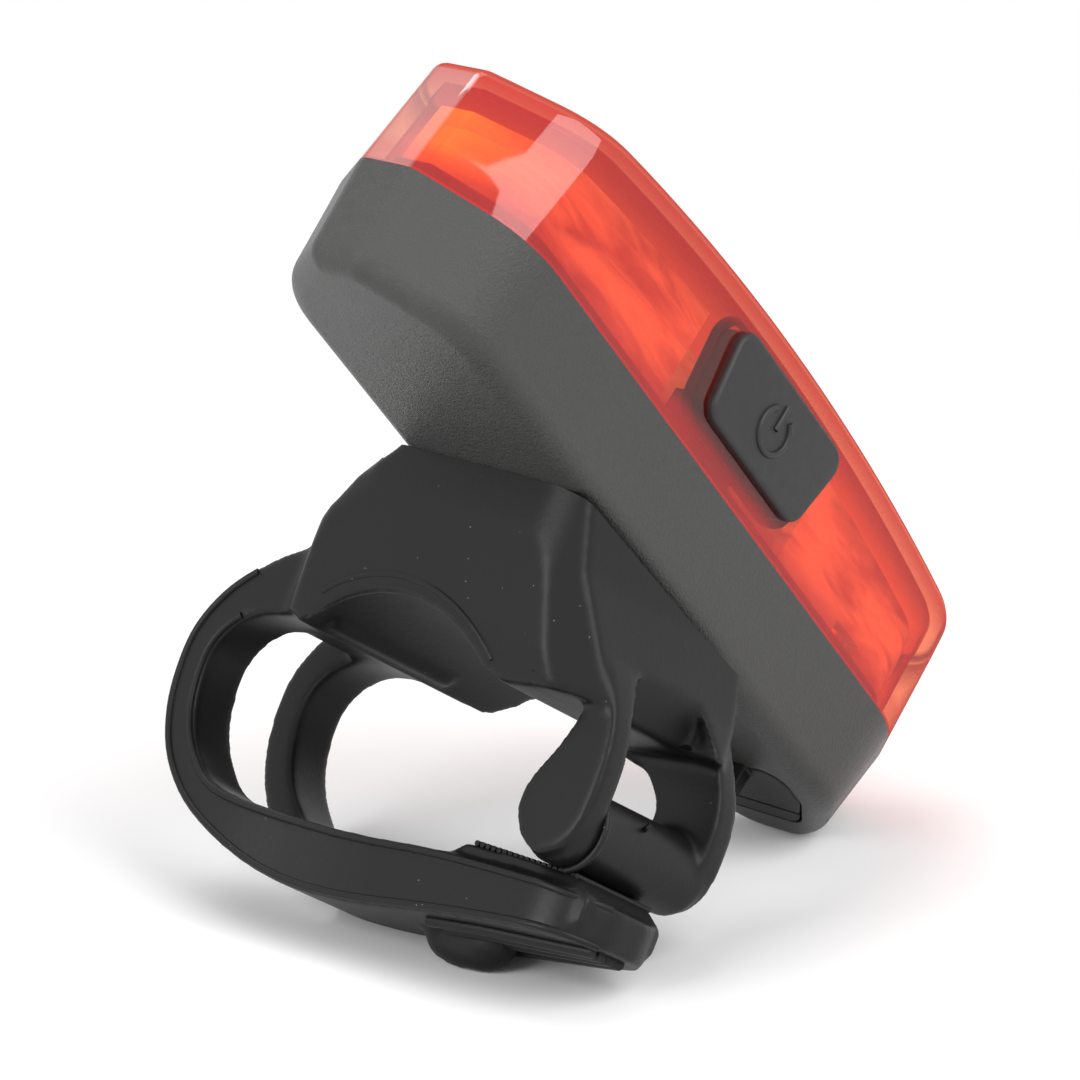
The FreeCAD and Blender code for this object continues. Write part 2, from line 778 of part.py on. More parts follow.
def make_strap_saddle():
    flank = [
        (-8.8, -2.0),
        (-12.2, -6.6),
        (-15.0, -12.2),
        (-15.0, -20.2),
        (post_y, -20.2),
        (clasp_root_inner_y, clasp_hinge_n),
        (clasp_root_outer_y, clasp_hinge_n),
        (13.4, -15.0),
        (10.8, -9.6),
        (9.0, -2.0),
    ]
    radii = [0, 3.0, 0, 0, 0, 0, 0, 2.0, 3.0, 0]
    block = prism(flank, radii, in_section(-20), V(40, 0, 0))
    pad_nose_s = (pad_x + pad_length / 2) * math.cos(math.radians(strap_tilt)) - back_z * math.sin(math.radians(strap_tilt))
    pad_port_s = (pad_x - pad_length / 2) * math.cos(math.radians(strap_tilt)) - back_z * math.sin(math.radians(strap_tilt))
    side = [
        (pad_port_s, -8.0),
        (pad_port_s - 2.6, -14.2),
        (pad_port_s - 2.0, -18.4),
        (low_band_s - 1.0, -20.4),
        (high_band_s + 1.4, -20.4),
        (high_band_s + 3.0, -16.0),
        (pad_nose_s, -8.0),
        (pad_nose_s, -2.0),
        (pad_port_s, -2.0),
    ]
    side_radii = [0, 2.0, 1.0, 0, 0, 3.0, 0, 0, 0]
    block = block.common(prism(side, side_radii, in_side(-40), V(0, 80, 0)))
    plan = [
        (pad_port_s - 1.5, -15.1),
        (pad_nose_s - 0.9, -15.1),
        (pad_nose_s, -10.0),
        (pad_nose_s, 8.0),
        (high_arm_s, 15.0),
        (high_arm_s, 18.0),
        (low_arm_s, 18.0),
        (low_arm_s, 10.6),
        (pad_port_s - 3.0, 2.0),
        (pad_port_s - 3.0, -9.0),
    ]
    plan_radii = [2.0, 1.5, 3.0, 5.0, 2.0, 0, 0, 1.5, 5.0, 5.0]
    block = block.common(prism(plan, plan_radii, in_plan(-40), V(0, 0, 40)))
    bands = band_solid(band_outer_upper, band_inner_upper, low_band_s, high_band_s).cut(band_slot(band_slot_root_y))
    block = block.fuse(bands)
    post = Part.makeCylinder(post_diameter / 2, 60, V(-30, post_y, post_n), ALONG)
    block = block.cut(post)
    valley = [(11.4, -30.0), (11.4, -16.6), (14.0, -13.6), (30.0, -13.6), (30.0, -30.0)]
    low_valley_s = arm_middle_s - arm_gap / 2
    block = block.cut(prism(valley, [0] * 5, in_section(low_valley_s), V(arm_gap, 0, 0)))
    block = block.cut(back_plane_cutter())
    saddle = strap_to_light(block)
    well_radius = mount_washer_diameter / 2 + mount_well_clearance
    well = Part.makeCylinder(well_radius, 30, V(mount_screw_x, mount_screw_y, seat_z), V(0, 0, -1))
    saddle = saddle.cut(well)
    hole = Part.makeCylinder(mount_screw_diameter / 2 + 0.2, 10, V(mount_screw_x, mount_screw_y, seat_z - 1))
    return saddle.cut(hole).removeSplitter()


def make_tongue_strap():
    low_tongue = tongue_middle_s - tongue_width / 2
    high_tongue = tongue_middle_s + tongue_width / 2
    strap = band_solid(band_outer_lower, band_inner_lower, low_band_s, high_band_s)
    pad = tongue_pad_top + [(tongue_tip_y - 1.6, -33.5), (3.4, -33.5)]
    pad_radii = soft_radii(pad, (0, len(pad) - 3, len(pad) - 2, len(pad) - 1))
    pad_width = tongue_width - 2 * tongue_pad_margin
    strap = strap.fuse(prism(pad, pad_radii, in_section(low_tongue + tongue_pad_margin), V(pad_width, 0, 0)))
    plan = [
        (low_band_s, -30.0),
        (high_band_s, -30.0),
        (high_band_s, -19.0),
        (high_tongue, -8.0),
        (high_tongue, tongue_tip_y),
        (low_tongue, tongue_tip_y),
        (low_tongue, -8.0),
        (low_band_s, -19.0),
    ]
    radii = [0, 0, 6.0, 6.0, tongue_tip_radius, tongue_tip_radius, 6.0, 6.0]
    strap = strap.common(prism(plan, radii, in_plan(-60), V(0, 0, 60)))
    strap = strap.cut(band_slot(band_slot_tongue_y))
    for index in range(long_rib_count):
        share = index / (long_rib_count - 1) - 0.5
        start = V(tongue_middle_s + share * (tongue_width - 2.0), 6.0, 0)
        end = V(tongue_middle_s + share * 2.6, tongue_tip_y - 1.2, 0)
        strap = strap.fuse(long_rib(start, end))
    half_length = lug_length / 2
    half_width = lug_width / 2
    lug_points = [
        (lug_s - half_width, lug_y - half_length),
        (lug_s + half_width, lug_y - half_length),
        (lug_s + half_width, lug_y + half_length),
        (lug_s - half_width, lug_y + half_length),
    ]
    lug = prism(lug_points, [half_width * 0.9] * 4, in_plan(lug_bottom_n), V(0, 0, -33.5 - lug_bottom_n))
    strap = strap.fuse(lug)
    end_face = Part.makeBox(FAR, FAR, FAR, V(-FAR / 2, -FAR - 20, band_hinge_n - flex_gap))
    strap = strap.cut(end_face)
    strap = strap_to_light(strap).cut(floor_cutter())
    return strap.removeSplitter()


def long_rib(start, end):
    """Grip rib along the tongue's outer face."""
    run = end - start
    across = V(-run.y, run.x, 0).normalize() * (long_rib_width / 2)
    corners = [start - across, start + across, end + across, end - across]
    face = Part.Face(Part.makePolygon([V(p.x, p.y, -34.9 - long_rib_height) for p in corners + corners[:1]]))
    return face.extrude(V(0, 0, 1.6))


def make_clasp_loop():
    outer = [(clasp_root_outer_y, clasp_hinge_n - flex_gap), (16.2, -21.0), (16.5, -24.0), (16.1, -27.2), (15.0, -29.0),
             (13.2, -29.6)]
    inner = [(11.4, -28.8), (9.8, -26.6), (10.2, -24.6), (11.7, -21.6),
             (clasp_root_inner_y, clasp_hinge_n - flex_gap)]
    points = outer + inner
    radii = soft_radii(points, (0, len(outer) - 1, len(points) - 1))
    arms = []
    for low_s in (low_arm_s, high_arm_s - arm_width):
        arms.append(prism(points, radii, in_section(low_s), V(arm_width, 0, 0)))
    bar = Part.makeCylinder(bar_diameter / 2, arm_gap + arm_width, V(low_arm_s + arm_width / 2, bar_y, bar_n), ALONG)
    loop = bar.fuse(arms)
    return strap_to_light(loop).removeSplitter()


solids = {
    "rear_housing": make_rear_housing(),
    "lens": make_lens(),
    "perimeter_seal": make_perimeter_seal(),
    "power_button": make_power_button(),
    "button_gasket": make_button_gasket(),
    "tactile_switch": make_tactile_switch(),
    "switch_plunger": make_switch_plunger(),
    "circuit_board": make_circuit_board(),
    "led_chips": make_led_chips(),
    "driver_chip": make_chip(driver_chip_x, driver_chip_y, driver_chip_length, driver_chip_width),
    "charge_chip": make_chip(charge_chip_x, 0, charge_chip_length, charge_chip_length),
    "chip_resistors": make_chip_resistors(),
    "diffuser": make_diffuser(),
    "battery": make_battery(),
    "battery_pad": make_battery_pad(),
    "battery_leads": make_battery_leads(),
    "board_screws": make_board_screws(),
    "usb_socket": make_usb_socket(),
    "usb_contacts": make_usb_contacts(),
    "port_cover": make_port_cover(),
    "cover_anchor": make_cover_anchor(),
    "mount_insert": make_mount_insert(),
    "mount_washer": make_mount_washer(),
    "mount_screw": make_mount_screw(),
    "strap_saddle": make_strap_saddle(),
    "tongue_strap": make_tongue_strap(),
    "clasp_loop": make_clasp_loop(),
}


def stand_placement():
    """Turn from the light frame to the standing frame, with the floor at zero height."""
    angle = math.radians(stand_tilt)
    cosine = math.cos(angle)
    sine = math.sin(angle)
    matrix = FreeCAD.Matrix(0, -1, 0, 0, cosine, 0, -sine, 0, sine, 0, cosine, 0, 0, 0, 0, 1)
    turn = FreeCAD.Placement(matrix)
    height = sine * heel_x + cosine * heel_z - heel_radius
    turn.move(V(0, 0, -height))
    return turn


def placed(shape):
    """Copy a solid into the standing frame."""
    copy = shape.copy()
    copy.Placement = stand.multiply(copy.Placement)
    return copy


stand = stand_placement()
whole = Part.makeCompound([placed(shape) for shape in solids.values()])
box = whole.optimalBoundingBox(True, False)
stand.move(V(-(box.XMin + box.XMax) / 2, -(box.YMin + box.YMax) / 2, 0))

os.makedirs("parts", exist_ok=True)
for name, shape in solids.items():
    placed(shape).exportStep("parts/" + name + ".step")
print("stand tilt", round(stand_tilt, 2), "box", box)
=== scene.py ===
import math

import bmesh
import bpy
from mathutils import Matrix, Vector


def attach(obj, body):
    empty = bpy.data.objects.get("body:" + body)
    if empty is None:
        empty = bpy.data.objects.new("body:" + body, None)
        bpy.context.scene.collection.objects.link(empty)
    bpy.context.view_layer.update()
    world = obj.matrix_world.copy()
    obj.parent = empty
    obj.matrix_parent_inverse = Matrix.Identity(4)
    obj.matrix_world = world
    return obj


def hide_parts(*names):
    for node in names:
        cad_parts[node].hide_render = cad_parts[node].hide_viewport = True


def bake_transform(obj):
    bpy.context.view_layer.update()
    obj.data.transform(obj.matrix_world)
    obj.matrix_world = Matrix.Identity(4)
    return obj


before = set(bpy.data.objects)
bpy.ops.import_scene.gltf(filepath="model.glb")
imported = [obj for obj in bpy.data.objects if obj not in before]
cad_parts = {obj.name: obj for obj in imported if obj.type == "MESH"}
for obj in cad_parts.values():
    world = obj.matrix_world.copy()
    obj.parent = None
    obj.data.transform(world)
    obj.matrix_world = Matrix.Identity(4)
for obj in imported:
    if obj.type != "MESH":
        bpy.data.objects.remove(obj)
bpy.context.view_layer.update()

# How the light stands
# It rests on the heel of its housing and on the strap's lug, nose up. light_frame turns millimetres along the
# light (x to the nose, y to the button side, z out of the lens) into the row's metres.
STAND_TILT = math.radians(48.66384)
STAND_BASE = Vector((-3.75, 0.76646, 32.59163))
cosine = math.cos(STAND_TILT)
sine = math.sin(STAND_TILT)
light_turn = Matrix(((0, -1, 0), (cosine, 0, -sine), (sine, 0, cosine)))
light_frame = Matrix.Scale(0.001, 4) @ Matrix.Translation(STAND_BASE) @ light_turn.to_4x4()

# Camera
# A long lens stands off at the button side and the nose, and looks slightly down on the light's back. Its
# place and its two ways are given along the light.
LENS_LENGTH_MM = 173.2
SENSOR_MM = 36.0
CAMERA_PLACE = Vector((261.563, 256.920, -135.639))
CAMERA_BACK = Vector((0.6687, 0.6668, -0.3289))
CAMERA_RIGHT = Vector((-0.4598, 0.7185, 0.5218))
camera_data = bpy.data.cameras.new("camera")
camera_data.lens = LENS_LENGTH_MM
camera_data.sensor_width = SENSOR_MM
camera_data.sensor_fit = "HORIZONTAL"
camera_data.clip_start = 0.01
camera_data.clip_end = 20.0
camera = bpy.data.objects.new("camera", camera_data)
bpy.context.scene.collection.objects.link(camera)
camera_back = (light_turn @ CAMERA_BACK).normalized()
camera_up = camera_back.cross((light_turn @ CAMERA_RIGHT).normalized()).normalized()
camera_right = camera_up.cross(camera_back)
camera_turn = Matrix((camera_right, camera_up, camera_back)).transposed().to_4x4()
camera.matrix_world = Matrix.Translation(light_frame @ CAMERA_PLACE) @ camera_turn
bpy.context.scene.camera = camera
bpy.context.scene.view_settings.view_transform = "Standard"


# Housing
# The back half of the light is a tub moulded in charcoal ABS, with a fine spark finish from the mould. The
# lens is welded to its rim, and the strap is screwed to its back.
class Strand:
    """A number or colour on its way through the nodes of a finish."""

    def __init__(self, finish, socket):
        self.finish = finish
        self.socket = socket

    def sum_with(self, operation, other, turned=False):
        pair = [other, self] if turned else [self, other]
        return self.finish.node("ShaderNodeMath", {"operation": operation}, pair)

    def __add__(self, other):
        return self.sum_with("ADD", other)

    def __radd__(self, other):
        return self.sum_with("ADD", other, True)

    def __sub__(self, other):
        return self.sum_with("SUBTRACT", other)

    def __rsub__(self, other):
        return self.sum_with("SUBTRACT", other, True)

    def __mul__(self, other):
        return self.sum_with("MULTIPLY", other)

    def __rmul__(self, other):
        return self.sum_with("MULTIPLY", other, True)


class Finish:
    """A moulded or metal finish, worked out from nodes."""

    def __init__(self, name, colour, roughness):
        self.material = bpy.data.materials.new(name)
        self.material.use_nodes = True
        self.tree = self.material.node_tree
        self.shader = self.tree.nodes["Principled BSDF"]
        self.output = self.tree.nodes["Material Output"]
        self.set("Base Color", (*colour, 1.0))
        self.set("Roughness", roughness)
        self.place = self.node("ShaderNodeTexCoord", {}, [], "Object")

    def node(self, kind, settings, values, out=0):
        made = self.tree.nodes.new(kind)
        for key, value in settings.items():
            setattr(made, key, value)
        pairs = values.items() if isinstance(values, dict) else enumerate(values)
        for key, value in pairs:
            if isinstance(value, Strand):
                self.tree.links.new(value.socket, made.inputs[key])
            else:
                made.inputs[key].default_value = value
        return Strand(self, made.outputs[out])

    def set(self, name, value):
        if isinstance(value, Strand):
            self.tree.links.new(value.socket, self.shader.inputs[name])
        else:
            self.shader.inputs[name].default_value = value

    def grain(self, per_metre, detail=2.0, roughness=0.5):
        values = {"Vector": self.place, "Scale": per_metre, "Detail": detail, "Roughness": roughness}
        return self.node("ShaderNodeTexNoise", {}, values)

    def ramp(self, strand, low, high):
        values = {"Value": strand, "From Min": low, "From Max": high}
        return self.node("ShaderNodeMapRange", {"clamp": True}, values)

    def blended(self, factor, first, second):
        values = {0: factor, 6: (*first, 1.0), 7: (*second, 1.0)}
        return self.node("ShaderNodeMix", {"data_type": "RGBA"}, values, 2)

    def raised(self, height, distance, strength=1.0):
        values = {"Height": height, "Distance": distance, "Strength": strength}
        self.set("Normal", self.node("ShaderNodeBump", {}, values))

    def dot(self, vector, way):
        values = {0: vector, 1: tuple(light_turn @ Vector(way))}
        return self.node("ShaderNodeVectorMath", {"operation": "DOT_PRODUCT"}, values, "Value")

    def millimetres(self, way):
        return self.dot(self.place, 1000 * Vector(way)) - STAND_BASE.dot(light_turn @ Vector(way))

    def larger(self, first, second):
        return self.node("ShaderNodeMath", {"operation": "MAXIMUM"}, [first, second])

    def mixed(self, share, first, second):
        return self.node("ShaderNodeMixShader", {}, [share, first, second])

    def own(self):
        return Strand(self, self.shader.outputs[0])

    def show(self, shader):
        self.tree.links.new(shader.socket, self.output.inputs["Surface"])

    def coat(self, *objects):
        for piece in objects:
            piece.data.materials.clear()
            piece.data.materials.append(self.material)


CHARCOAL = (0.0185, 0.0185, 0.0175)
CHARCOAL_WORN = (0.025, 0.025, 0.0235)
housing_finish = Finish("charcoal_spark", CHARCOAL, 0.5)
spark = housing_finish.grain(5600.0, 3.0, 0.65)
cloud = housing_finish.grain(60.0, 3.0)
housing_finish.set("Base Color", housing_finish.blended(cloud, CHARCOAL, CHARCOAL_WORN))
housing_finish.set("Roughness", 0.29 + 0.16 * spark)
housing_finish.raised(spark + 0.35 * housing_finish.grain(2400.0), 0.0001)
housing_finish.set("Specular IOR Level", 0.62)
housing_finish.coat(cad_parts["rear_housing"])

# Circuit board
# One epoxy glass board with a resist over its tracks. It lies on bosses in the tub, held by two screws. Its
# white resist is painted dark as painted shade, so it shows as a dark strip through the lens.
# Painted shade: resist, stains and tracks are all painted far darker than white resist.
BOARD_RESIST_SHADED = (0.20, 0.16, 0.13)
BOARD_STAIN_SHADED = (0.16, 0.13, 0.10)
BOARD_TRACK_SHADED = (0.10, 0.08, 0.06)
board_finish = Finish("white_solder_resist", BOARD_RESIST_SHADED, 0.35)
tracks = {
    "Vector": board_finish.place,
    "Scale": 220.0,
    "Mortar Size": 0.02,
    "Color1": (*BOARD_RESIST_SHADED, 1),
    "Color2": (*BOARD_STAIN_SHADED, 1),
    "Mortar": (*BOARD_TRACK_SHADED, 1),
}
board_finish.set("Base Color", board_finish.node("ShaderNodeTexBrick", {}, tracks))
board_finish.coat(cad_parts["circuit_board"])

# Lamps on the board
# Six lamp chips, each a block of clear epoxy over a yellow phosphor. They are soldered to the board under the
# light tray.
LAMP_EPOXY = (0.86, 0.66, 0.2)
LAMP_PHOSPHOR = (0.78, 0.5, 0.12)
lamp_finish = Finish("lamp_epoxy", LAMP_EPOXY, 0.25)
lamp_finish.set("Base Color", lamp_finish.blended(lamp_finish.grain(900.0), LAMP_EPOXY, LAMP_PHOSPHOR))
lamp_finish.coat(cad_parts["led_chips"])

# Chips, switch and contacts
# The small black parts on the board are moulded in epoxy or nylon, with the dull skin of such parts. The
# switch's plunger goes down with the power button.
chip_finish = Finish("moulded_chip", (0.025, 0.025, 0.027), 0.5)
chip_finish.raised(chip_finish.grain(5000.0), 0.00002, 0.6)
chip_finish.set("Roughness", 0.45 + 0.2 * chip_finish.grain(800.0))
chip_names = ("driver_chip", "charge_chip", "chip_resistors", "tactile_switch", "switch_plunger",
              "usb_contacts")
chip_finish.coat(*(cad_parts[name] for name in chip_names))

# Screws, washer and socket shell
# Nickel on steel. Two screws hold the board, and one holds the strap mount over its washer. The charging
# socket's shell is folded from sheet.
steel_finish = Finish("nickel_plate", (0.52, 0.52, 0.54), 0.28)
steel_finish.set("Metallic", 1.0)
steel_finish.set("Roughness", 0.22 + 0.18 * steel_finish.grain(700.0, 4.0))
steel_finish.raised(steel_finish.grain(2600.0, 3.0), 0.00001, 0.5)
steel_names = ("usb_socket", "board_screws", "mount_screw", "mount_washer")
steel_finish.coat(*(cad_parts[name] for name in steel_names))

# Screw insert
# A turned brass bush, pressed hot into the boss in the tub's back. The strap's screw goes into its thread.
brass_finish = Finish("brass_insert", (0.60, 0.40, 0.16), 0.3)
brass_finish.set("Metallic", 1.0)
brass_finish.set("Roughness", 0.25 + 0.2 * brass_finish.grain(900.0))
brass_finish.coat(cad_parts["mount_insert"])

# Cell and its leads
# A flat lithium cell in an aluminium pouch lies in the tub under the board. Two leads with red insulation run
# from its end to the board.
LEAD_RED = (0.45, 0.02, 0.02)
LEAD_RED_DEEP = (0.34, 0.015, 0.015)
foil_finish = Finish("cell_pouch", (0.55, 0.57, 0.60), 0.35)
foil_finish.set("Metallic", 0.8)
foil_finish.raised(foil_finish.grain(350.0, 4.0), 0.0002, 0.4)
foil_finish.coat(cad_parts["battery"])
lead_finish = Finish("lead_insulation", LEAD_RED, 0.4)
lead_finish.set("Base Color", lead_finish.blended(lead_finish.grain(500.0), LEAD_RED, LEAD_RED_DEEP))
lead_finish.coat(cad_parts["battery_leads"])

# Cell pad
# A strip of dark closed cell foam on the tub's floor keeps the cell from rattling. It is cut from sheet, so
# its edges are nearly sharp.


def finished(name, shape, frame_matrix, crease=35.0):
    """Turn a shape into a piece of the light, smooth up to a crease angle."""
    bmesh.ops.transform(shape, matrix=frame_matrix, verts=shape.verts)
    data = bpy.data.meshes.new(name)
    shape.to_mesh(data)
    shape.free()
    data.shade_smooth()
    data.set_sharp_from_angle(angle=math.radians(crease))
    piece = bpy.data.objects.new(name, data)
    bpy.context.scene.collection.objects.link(piece)
    return piece


def softened(name, node, width, shrink=0.0):
    """Copy a rubber or foam part with its edges rounded."""
    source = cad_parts[node]
    shape = bmesh.new()
    shape.from_mesh(source.data)
    bmesh.ops.remove_doubles(shape, verts=shape.verts, dist=0.000002)
    bmesh.ops.dissolve_limit(shape, angle_limit=math.radians(2), verts=shape.verts, edges=shape.edges)
    shape.normal_update()
    for vert in shape.verts:
        vert.co -= vert.normal * shrink
    piece = finished(name, shape, source.matrix_world)
    edge = piece.modifiers.new("edge", "BEVEL")
    edge.width = width
    edge.segments = 3
    edge.profile = 0.5
    edge.limit_method = "ANGLE"
    edge.angle_limit = math.radians(40)
    edge.use_clamp_overlap = True
    return piece


foam_finish = Finish("cell_foam", (0.08, 0.08, 0.08), 0.9)
foam_finish.raised(foam_finish.grain(2500.0, 3.0), 0.00015)
cell_foam = softened("cell_foam_pad", "battery_pad", 0.0002)
foam_finish.coat(cell_foam)
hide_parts("battery_pad")
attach(cell_foam, "light")

# Light tray
# A clear orange tray over the lamps spreads their light. Its walls stand just inside the lens, and the
# streaks of its moulding show through the red. The tray carries a faint painted glow in its streak colours,
# for light scattered inside it, and a strong painted amber glow at its nose end.
TRAY_PALE = (1.0, 0.86, 0.66)
TRAY_DEEP = (0.52, 0.14, 0.06)
TRAY_TINT = (1.0, 0.78, 0.6, 1.0)
TRAY_PAINTED_GLOW_AMBER = (5.0, 2.9, 0.25, 1.0)
PAINTED_GLOW_FROM = 28.0
PAINTED_GLOW_TO = 35.0
STREAKS_ALONG = 70
STREAKS_ACROSS = 330
tray_finish = Finish("orange_tray_painted_glow", TRAY_PALE, 0.25)
along = tray_finish.dot(tray_finish.place, (STREAKS_ALONG, 0, 0))
across = tray_finish.dot(tray_finish.place, (0, 0, STREAKS_ACROSS))
streak_place = tray_finish.node("ShaderNodeCombineXYZ", {}, [along, across])
streak_values = {"Vector": streak_place, "Scale": 1.6, "Detail": 3.0, "Distortion": 0.6}
streaks = tray_finish.node("ShaderNodeTexNoise", {}, streak_values)
streak_colour = tray_finish.blended(tray_finish.ramp(streaks, 0.42, 0.66), TRAY_PALE, TRAY_DEEP)
tray_finish.set("Base Color", streak_colour)
tray_finish.set("Coat Weight", 0.4)
# Painted glow: the tray emits its streak colour faintly, and this turns to a strong amber towards its nose
# end.
nose_glow_share = tray_finish.ramp(tray_finish.millimetres((1, 0, 0)), PAINTED_GLOW_FROM, PAINTED_GLOW_TO)
painted_amber_glow = {0: nose_glow_share * nose_glow_share, 6: streak_colour, 7: TRAY_PAINTED_GLOW_AMBER}
tray_finish.set("Emission Color", tray_finish.node("ShaderNodeMix", {"data_type": "RGBA"}, painted_amber_glow, 2))
tray_finish.set("Emission Strength", 0.27)
tray_clear = tray_finish.node("ShaderNodeBsdfTransparent", {}, {"Color": TRAY_TINT})
tray_facing = tray_finish.node("ShaderNodeLayerWeight", {}, {"Blend": 0.5}, "Facing")
tray_finish.show(tray_finish.mixed(0.42 + 0.5 * tray_facing, tray_clear, tray_finish.own()))
tray_finish.raised(streaks, 0.0012, 0.6)
tray_finish.coat(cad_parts["diffuser"])

# Rim seal
# A thin cord of black silicone rubber lies in the groove round the tub's rim, under the lens's tongue. The
# same rubber makes the button's gasket, the port cover and the strap.
RUBBER_BLACK = (0.0055, 0.0055, 0.0055)
RUBBER_DUST = (0.20, 0.19, 0.18)
rubber_finish = Finish("satin_black_rubber", RUBBER_BLACK, 0.5)
bloom = rubber_finish.grain(140.0, 4.0, 0.6)
speck_values = {"Vector": rubber_finish.place, "Scale": 900.0}
specks = rubber_finish.node("ShaderNodeTexVoronoi", {"feature": "F1"}, speck_values, "Distance")
lint = rubber_finish.node("ShaderNodeMath", {"operation": "LESS_THAN"}, [specks, 0.05])
dusty = rubber_finish.ramp(rubber_finish.grain(90.0, 2.0), 0.50, 0.62)
rubber_finish.set("Base Color", rubber_finish.blended(lint * dusty, RUBBER_BLACK, RUBBER_DUST))
rubber_finish.set("Specular IOR Level", 0.24)
rubber_finish.set("Roughness", 0.36 + 0.12 * bloom)
rubber_finish.raised(rubber_finish.grain(2600.0, 3.0), 0.00003, 0.5)
rim_cord = softened("rim_seal_cord", "perimeter_seal", 0.0001)
rubber_finish.coat(rim_cord)
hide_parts("perimeter_seal")
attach(rim_cord, "light")

# Lens
# One clear red shell, moulded with a thick wall, and polished. Its front is crowned from end to end, and its
# front edge is rounded. A tongue under its rim is welded into the tub's groove.
LENS_HALF_LENGTH = 37.5
LENS_HALF_WIDTH = 10.25
LENS_CORNERS = ((LENS_HALF_LENGTH, -2.5), (LENS_HALF_LENGTH, 2.5), (31.2, LENS_HALF_WIDTH),
                (-29.5, LENS_HALF_WIDTH), (-LENS_HALF_LENGTH, 4.0), (-LENS_HALF_LENGTH, -4.0),
                (-29.5, -LENS_HALF_WIDTH), (31.2, -LENS_HALF_WIDTH))
LENS_CORNER_RADII = (2.2, 2.2, 8.3, 8.7, 6.2, 6.2, 8.7, 8.3)
LENS_END_HEIGHT = 9.7
LENS_CROWN = 3.4
LENS_DRAFT = math.radians(2.5)
LENS_FRONT_RADIUS = 1.0
LENS_WALL = 1.4
LENS_ARC_STEPS = 9
LENS_STRIP = 2.6
LENS_RED = (0.44, 0.006, 0.005)
LENS_TINT = (1.0, 0.50, 0.34, 1.0)
# Heights in millimetres of the painted shade bands on the lens.
SEAM_SHADE_LINE = (0.42, 0.12)
FOOT_SHADE_BAND = (2.9, 1.5)
FRONT_SHADE_LINE = (-0.95, -0.35)
BROW_SHADE_BAND = (-3.8, -1.0)


def crown_height(x):
    """Height of the lens's front above its rim."""
    radius = (LENS_HALF_LENGTH ** 2 + LENS_CROWN ** 2) / (2 * LENS_CROWN)
    return LENS_END_HEIGHT + LENS_CROWN - radius + math.sqrt(max(radius ** 2 - x ** 2, 0))


def ring_points(corners, radii, inset):
    """Rounded outline drawn in by inset, with a fixed count of points."""
    points = []
    count = len(corners)
    arcs = []
    for index in range(count):
        here = Vector(corners[index])
        before = (Vector(corners[index - 1]) - here).normalized()
        after = (Vector(corners[(index + 1) % count]) - here).normalized()
        half = before.angle(after) / 2
        inward = (before + after).normalized()
        corner = here + inward * (inset / math.sin(half))
        radius = max(radii[index] - inset, 0.3)
        centre = corner + inward * (radius / math.sin(half))
        start = corner + before * (radius / math.tan(half)) - centre
        end = corner + after * (radius / math.tan(half)) - centre
        arc = []
        for step in range(LENS_ARC_STEPS + 1):
            arc.append(centre + radius * start.normalized().slerp(end.normalized(), step / LENS_ARC_STEPS))
        arcs.append(arc)
    for index, arc in enumerate(arcs):
        points += arc
        target = arcs[(index + 1) % count][0]
        side = Vector(corners[index]) - Vector(corners[(index + 1) % count])
        span = max(int(side.length / LENS_STRIP), 1)
        for step in range(1, span):
            points.append(arc[-1].lerp(target, step / span))
    return points


def with_edges(faces):
    """Faces together with their edges and corners."""
    edges = {edge for face in faces for edge in face.edges}
    corners = {vert for face in faces for vert in face.verts}
    return faces + list(edges) + list(corners)


def crowned_shell(edge_radius):
    """Open shell on the lens's outline, with drafted walls and a crowned front."""
    shape = bmesh.new()
    draft = (LENS_END_HEIGHT + LENS_CROWN) * math.tan(LENS_DRAFT)
    profile = [(0.0, None), (draft, edge_radius)]
    for step in range(1, 7):
        turn = math.radians(step * 15)
        profile.append((draft + edge_radius * (1 - math.cos(turn)), edge_radius * (1 - math.sin(turn))))
    rings = []
    for inset, below in profile:
        ring = []
        for x, y in ring_points(LENS_CORNERS, LENS_CORNER_RADII, inset):
            ring.append(shape.verts.new((x, y, 0.0 if below is None else crown_height(x) - below)))
        rings.append([shape.edges.new((ring[index - 1], ring[index])) for index in range(len(ring))])
    for low, high in zip(rings, rings[1:]):
        bmesh.ops.bridge_loops(shape, edges=low + high)
    front = bmesh.ops.contextual_create(shape, geom=rings[-1])["faces"]
    for index in range(-12, 13):
        spot = (index * LENS_STRIP + LENS_STRIP / 2, 0, 0)
        cut = bmesh.ops.bisect_plane(shape, geom=with_edges(front), plane_co=spot, plane_no=(1, 0, 0))
        front = [item for item in cut["geom"] if isinstance(item, bmesh.types.BMFace)]
    for vert in {vert for face in front for vert in face.verts}:
        vert.co.z = crown_height(vert.co.x)
    bmesh.ops.recalc_face_normals(shape, faces=shape.faces)
    return shape


lens = finished("red_lens_shell", crowned_shell(LENS_FRONT_RADIUS), light_frame)
wall = lens.modifiers.new("wall", "SOLIDIFY")
wall.thickness = LENS_WALL / 1000
wall.offset = -1
wall.use_even_offset = True
wall.use_rim = True
flats = lens.modifiers.new("flats", "WEIGHTED_NORMAL")
flats.keep_sharp = True
flats.weight = 100
lens_finish = Finish("clear_red_lens", LENS_RED, 0.3)
lens_finish.set("Specular IOR Level", 0.0)
clear = lens_finish.node("ShaderNodeBsdfTransparent", {}, {"Color": LENS_TINT})
facing = lens_finish.node("ShaderNodeLayerWeight", {}, {"Blend": 0.5}, "Facing")
grazing = facing * facing * facing
above_seam = lens_finish.millimetres((0, 0, 1))
station = lens_finish.millimetres((1 / LENS_HALF_LENGTH, 0, 0))
below_rim = above_seam - (LENS_END_HEIGHT + LENS_CROWN) + LENS_CROWN * (station * station)
normal = lens_finish.node("ShaderNodeNewGeometry", {}, [], "Normal")
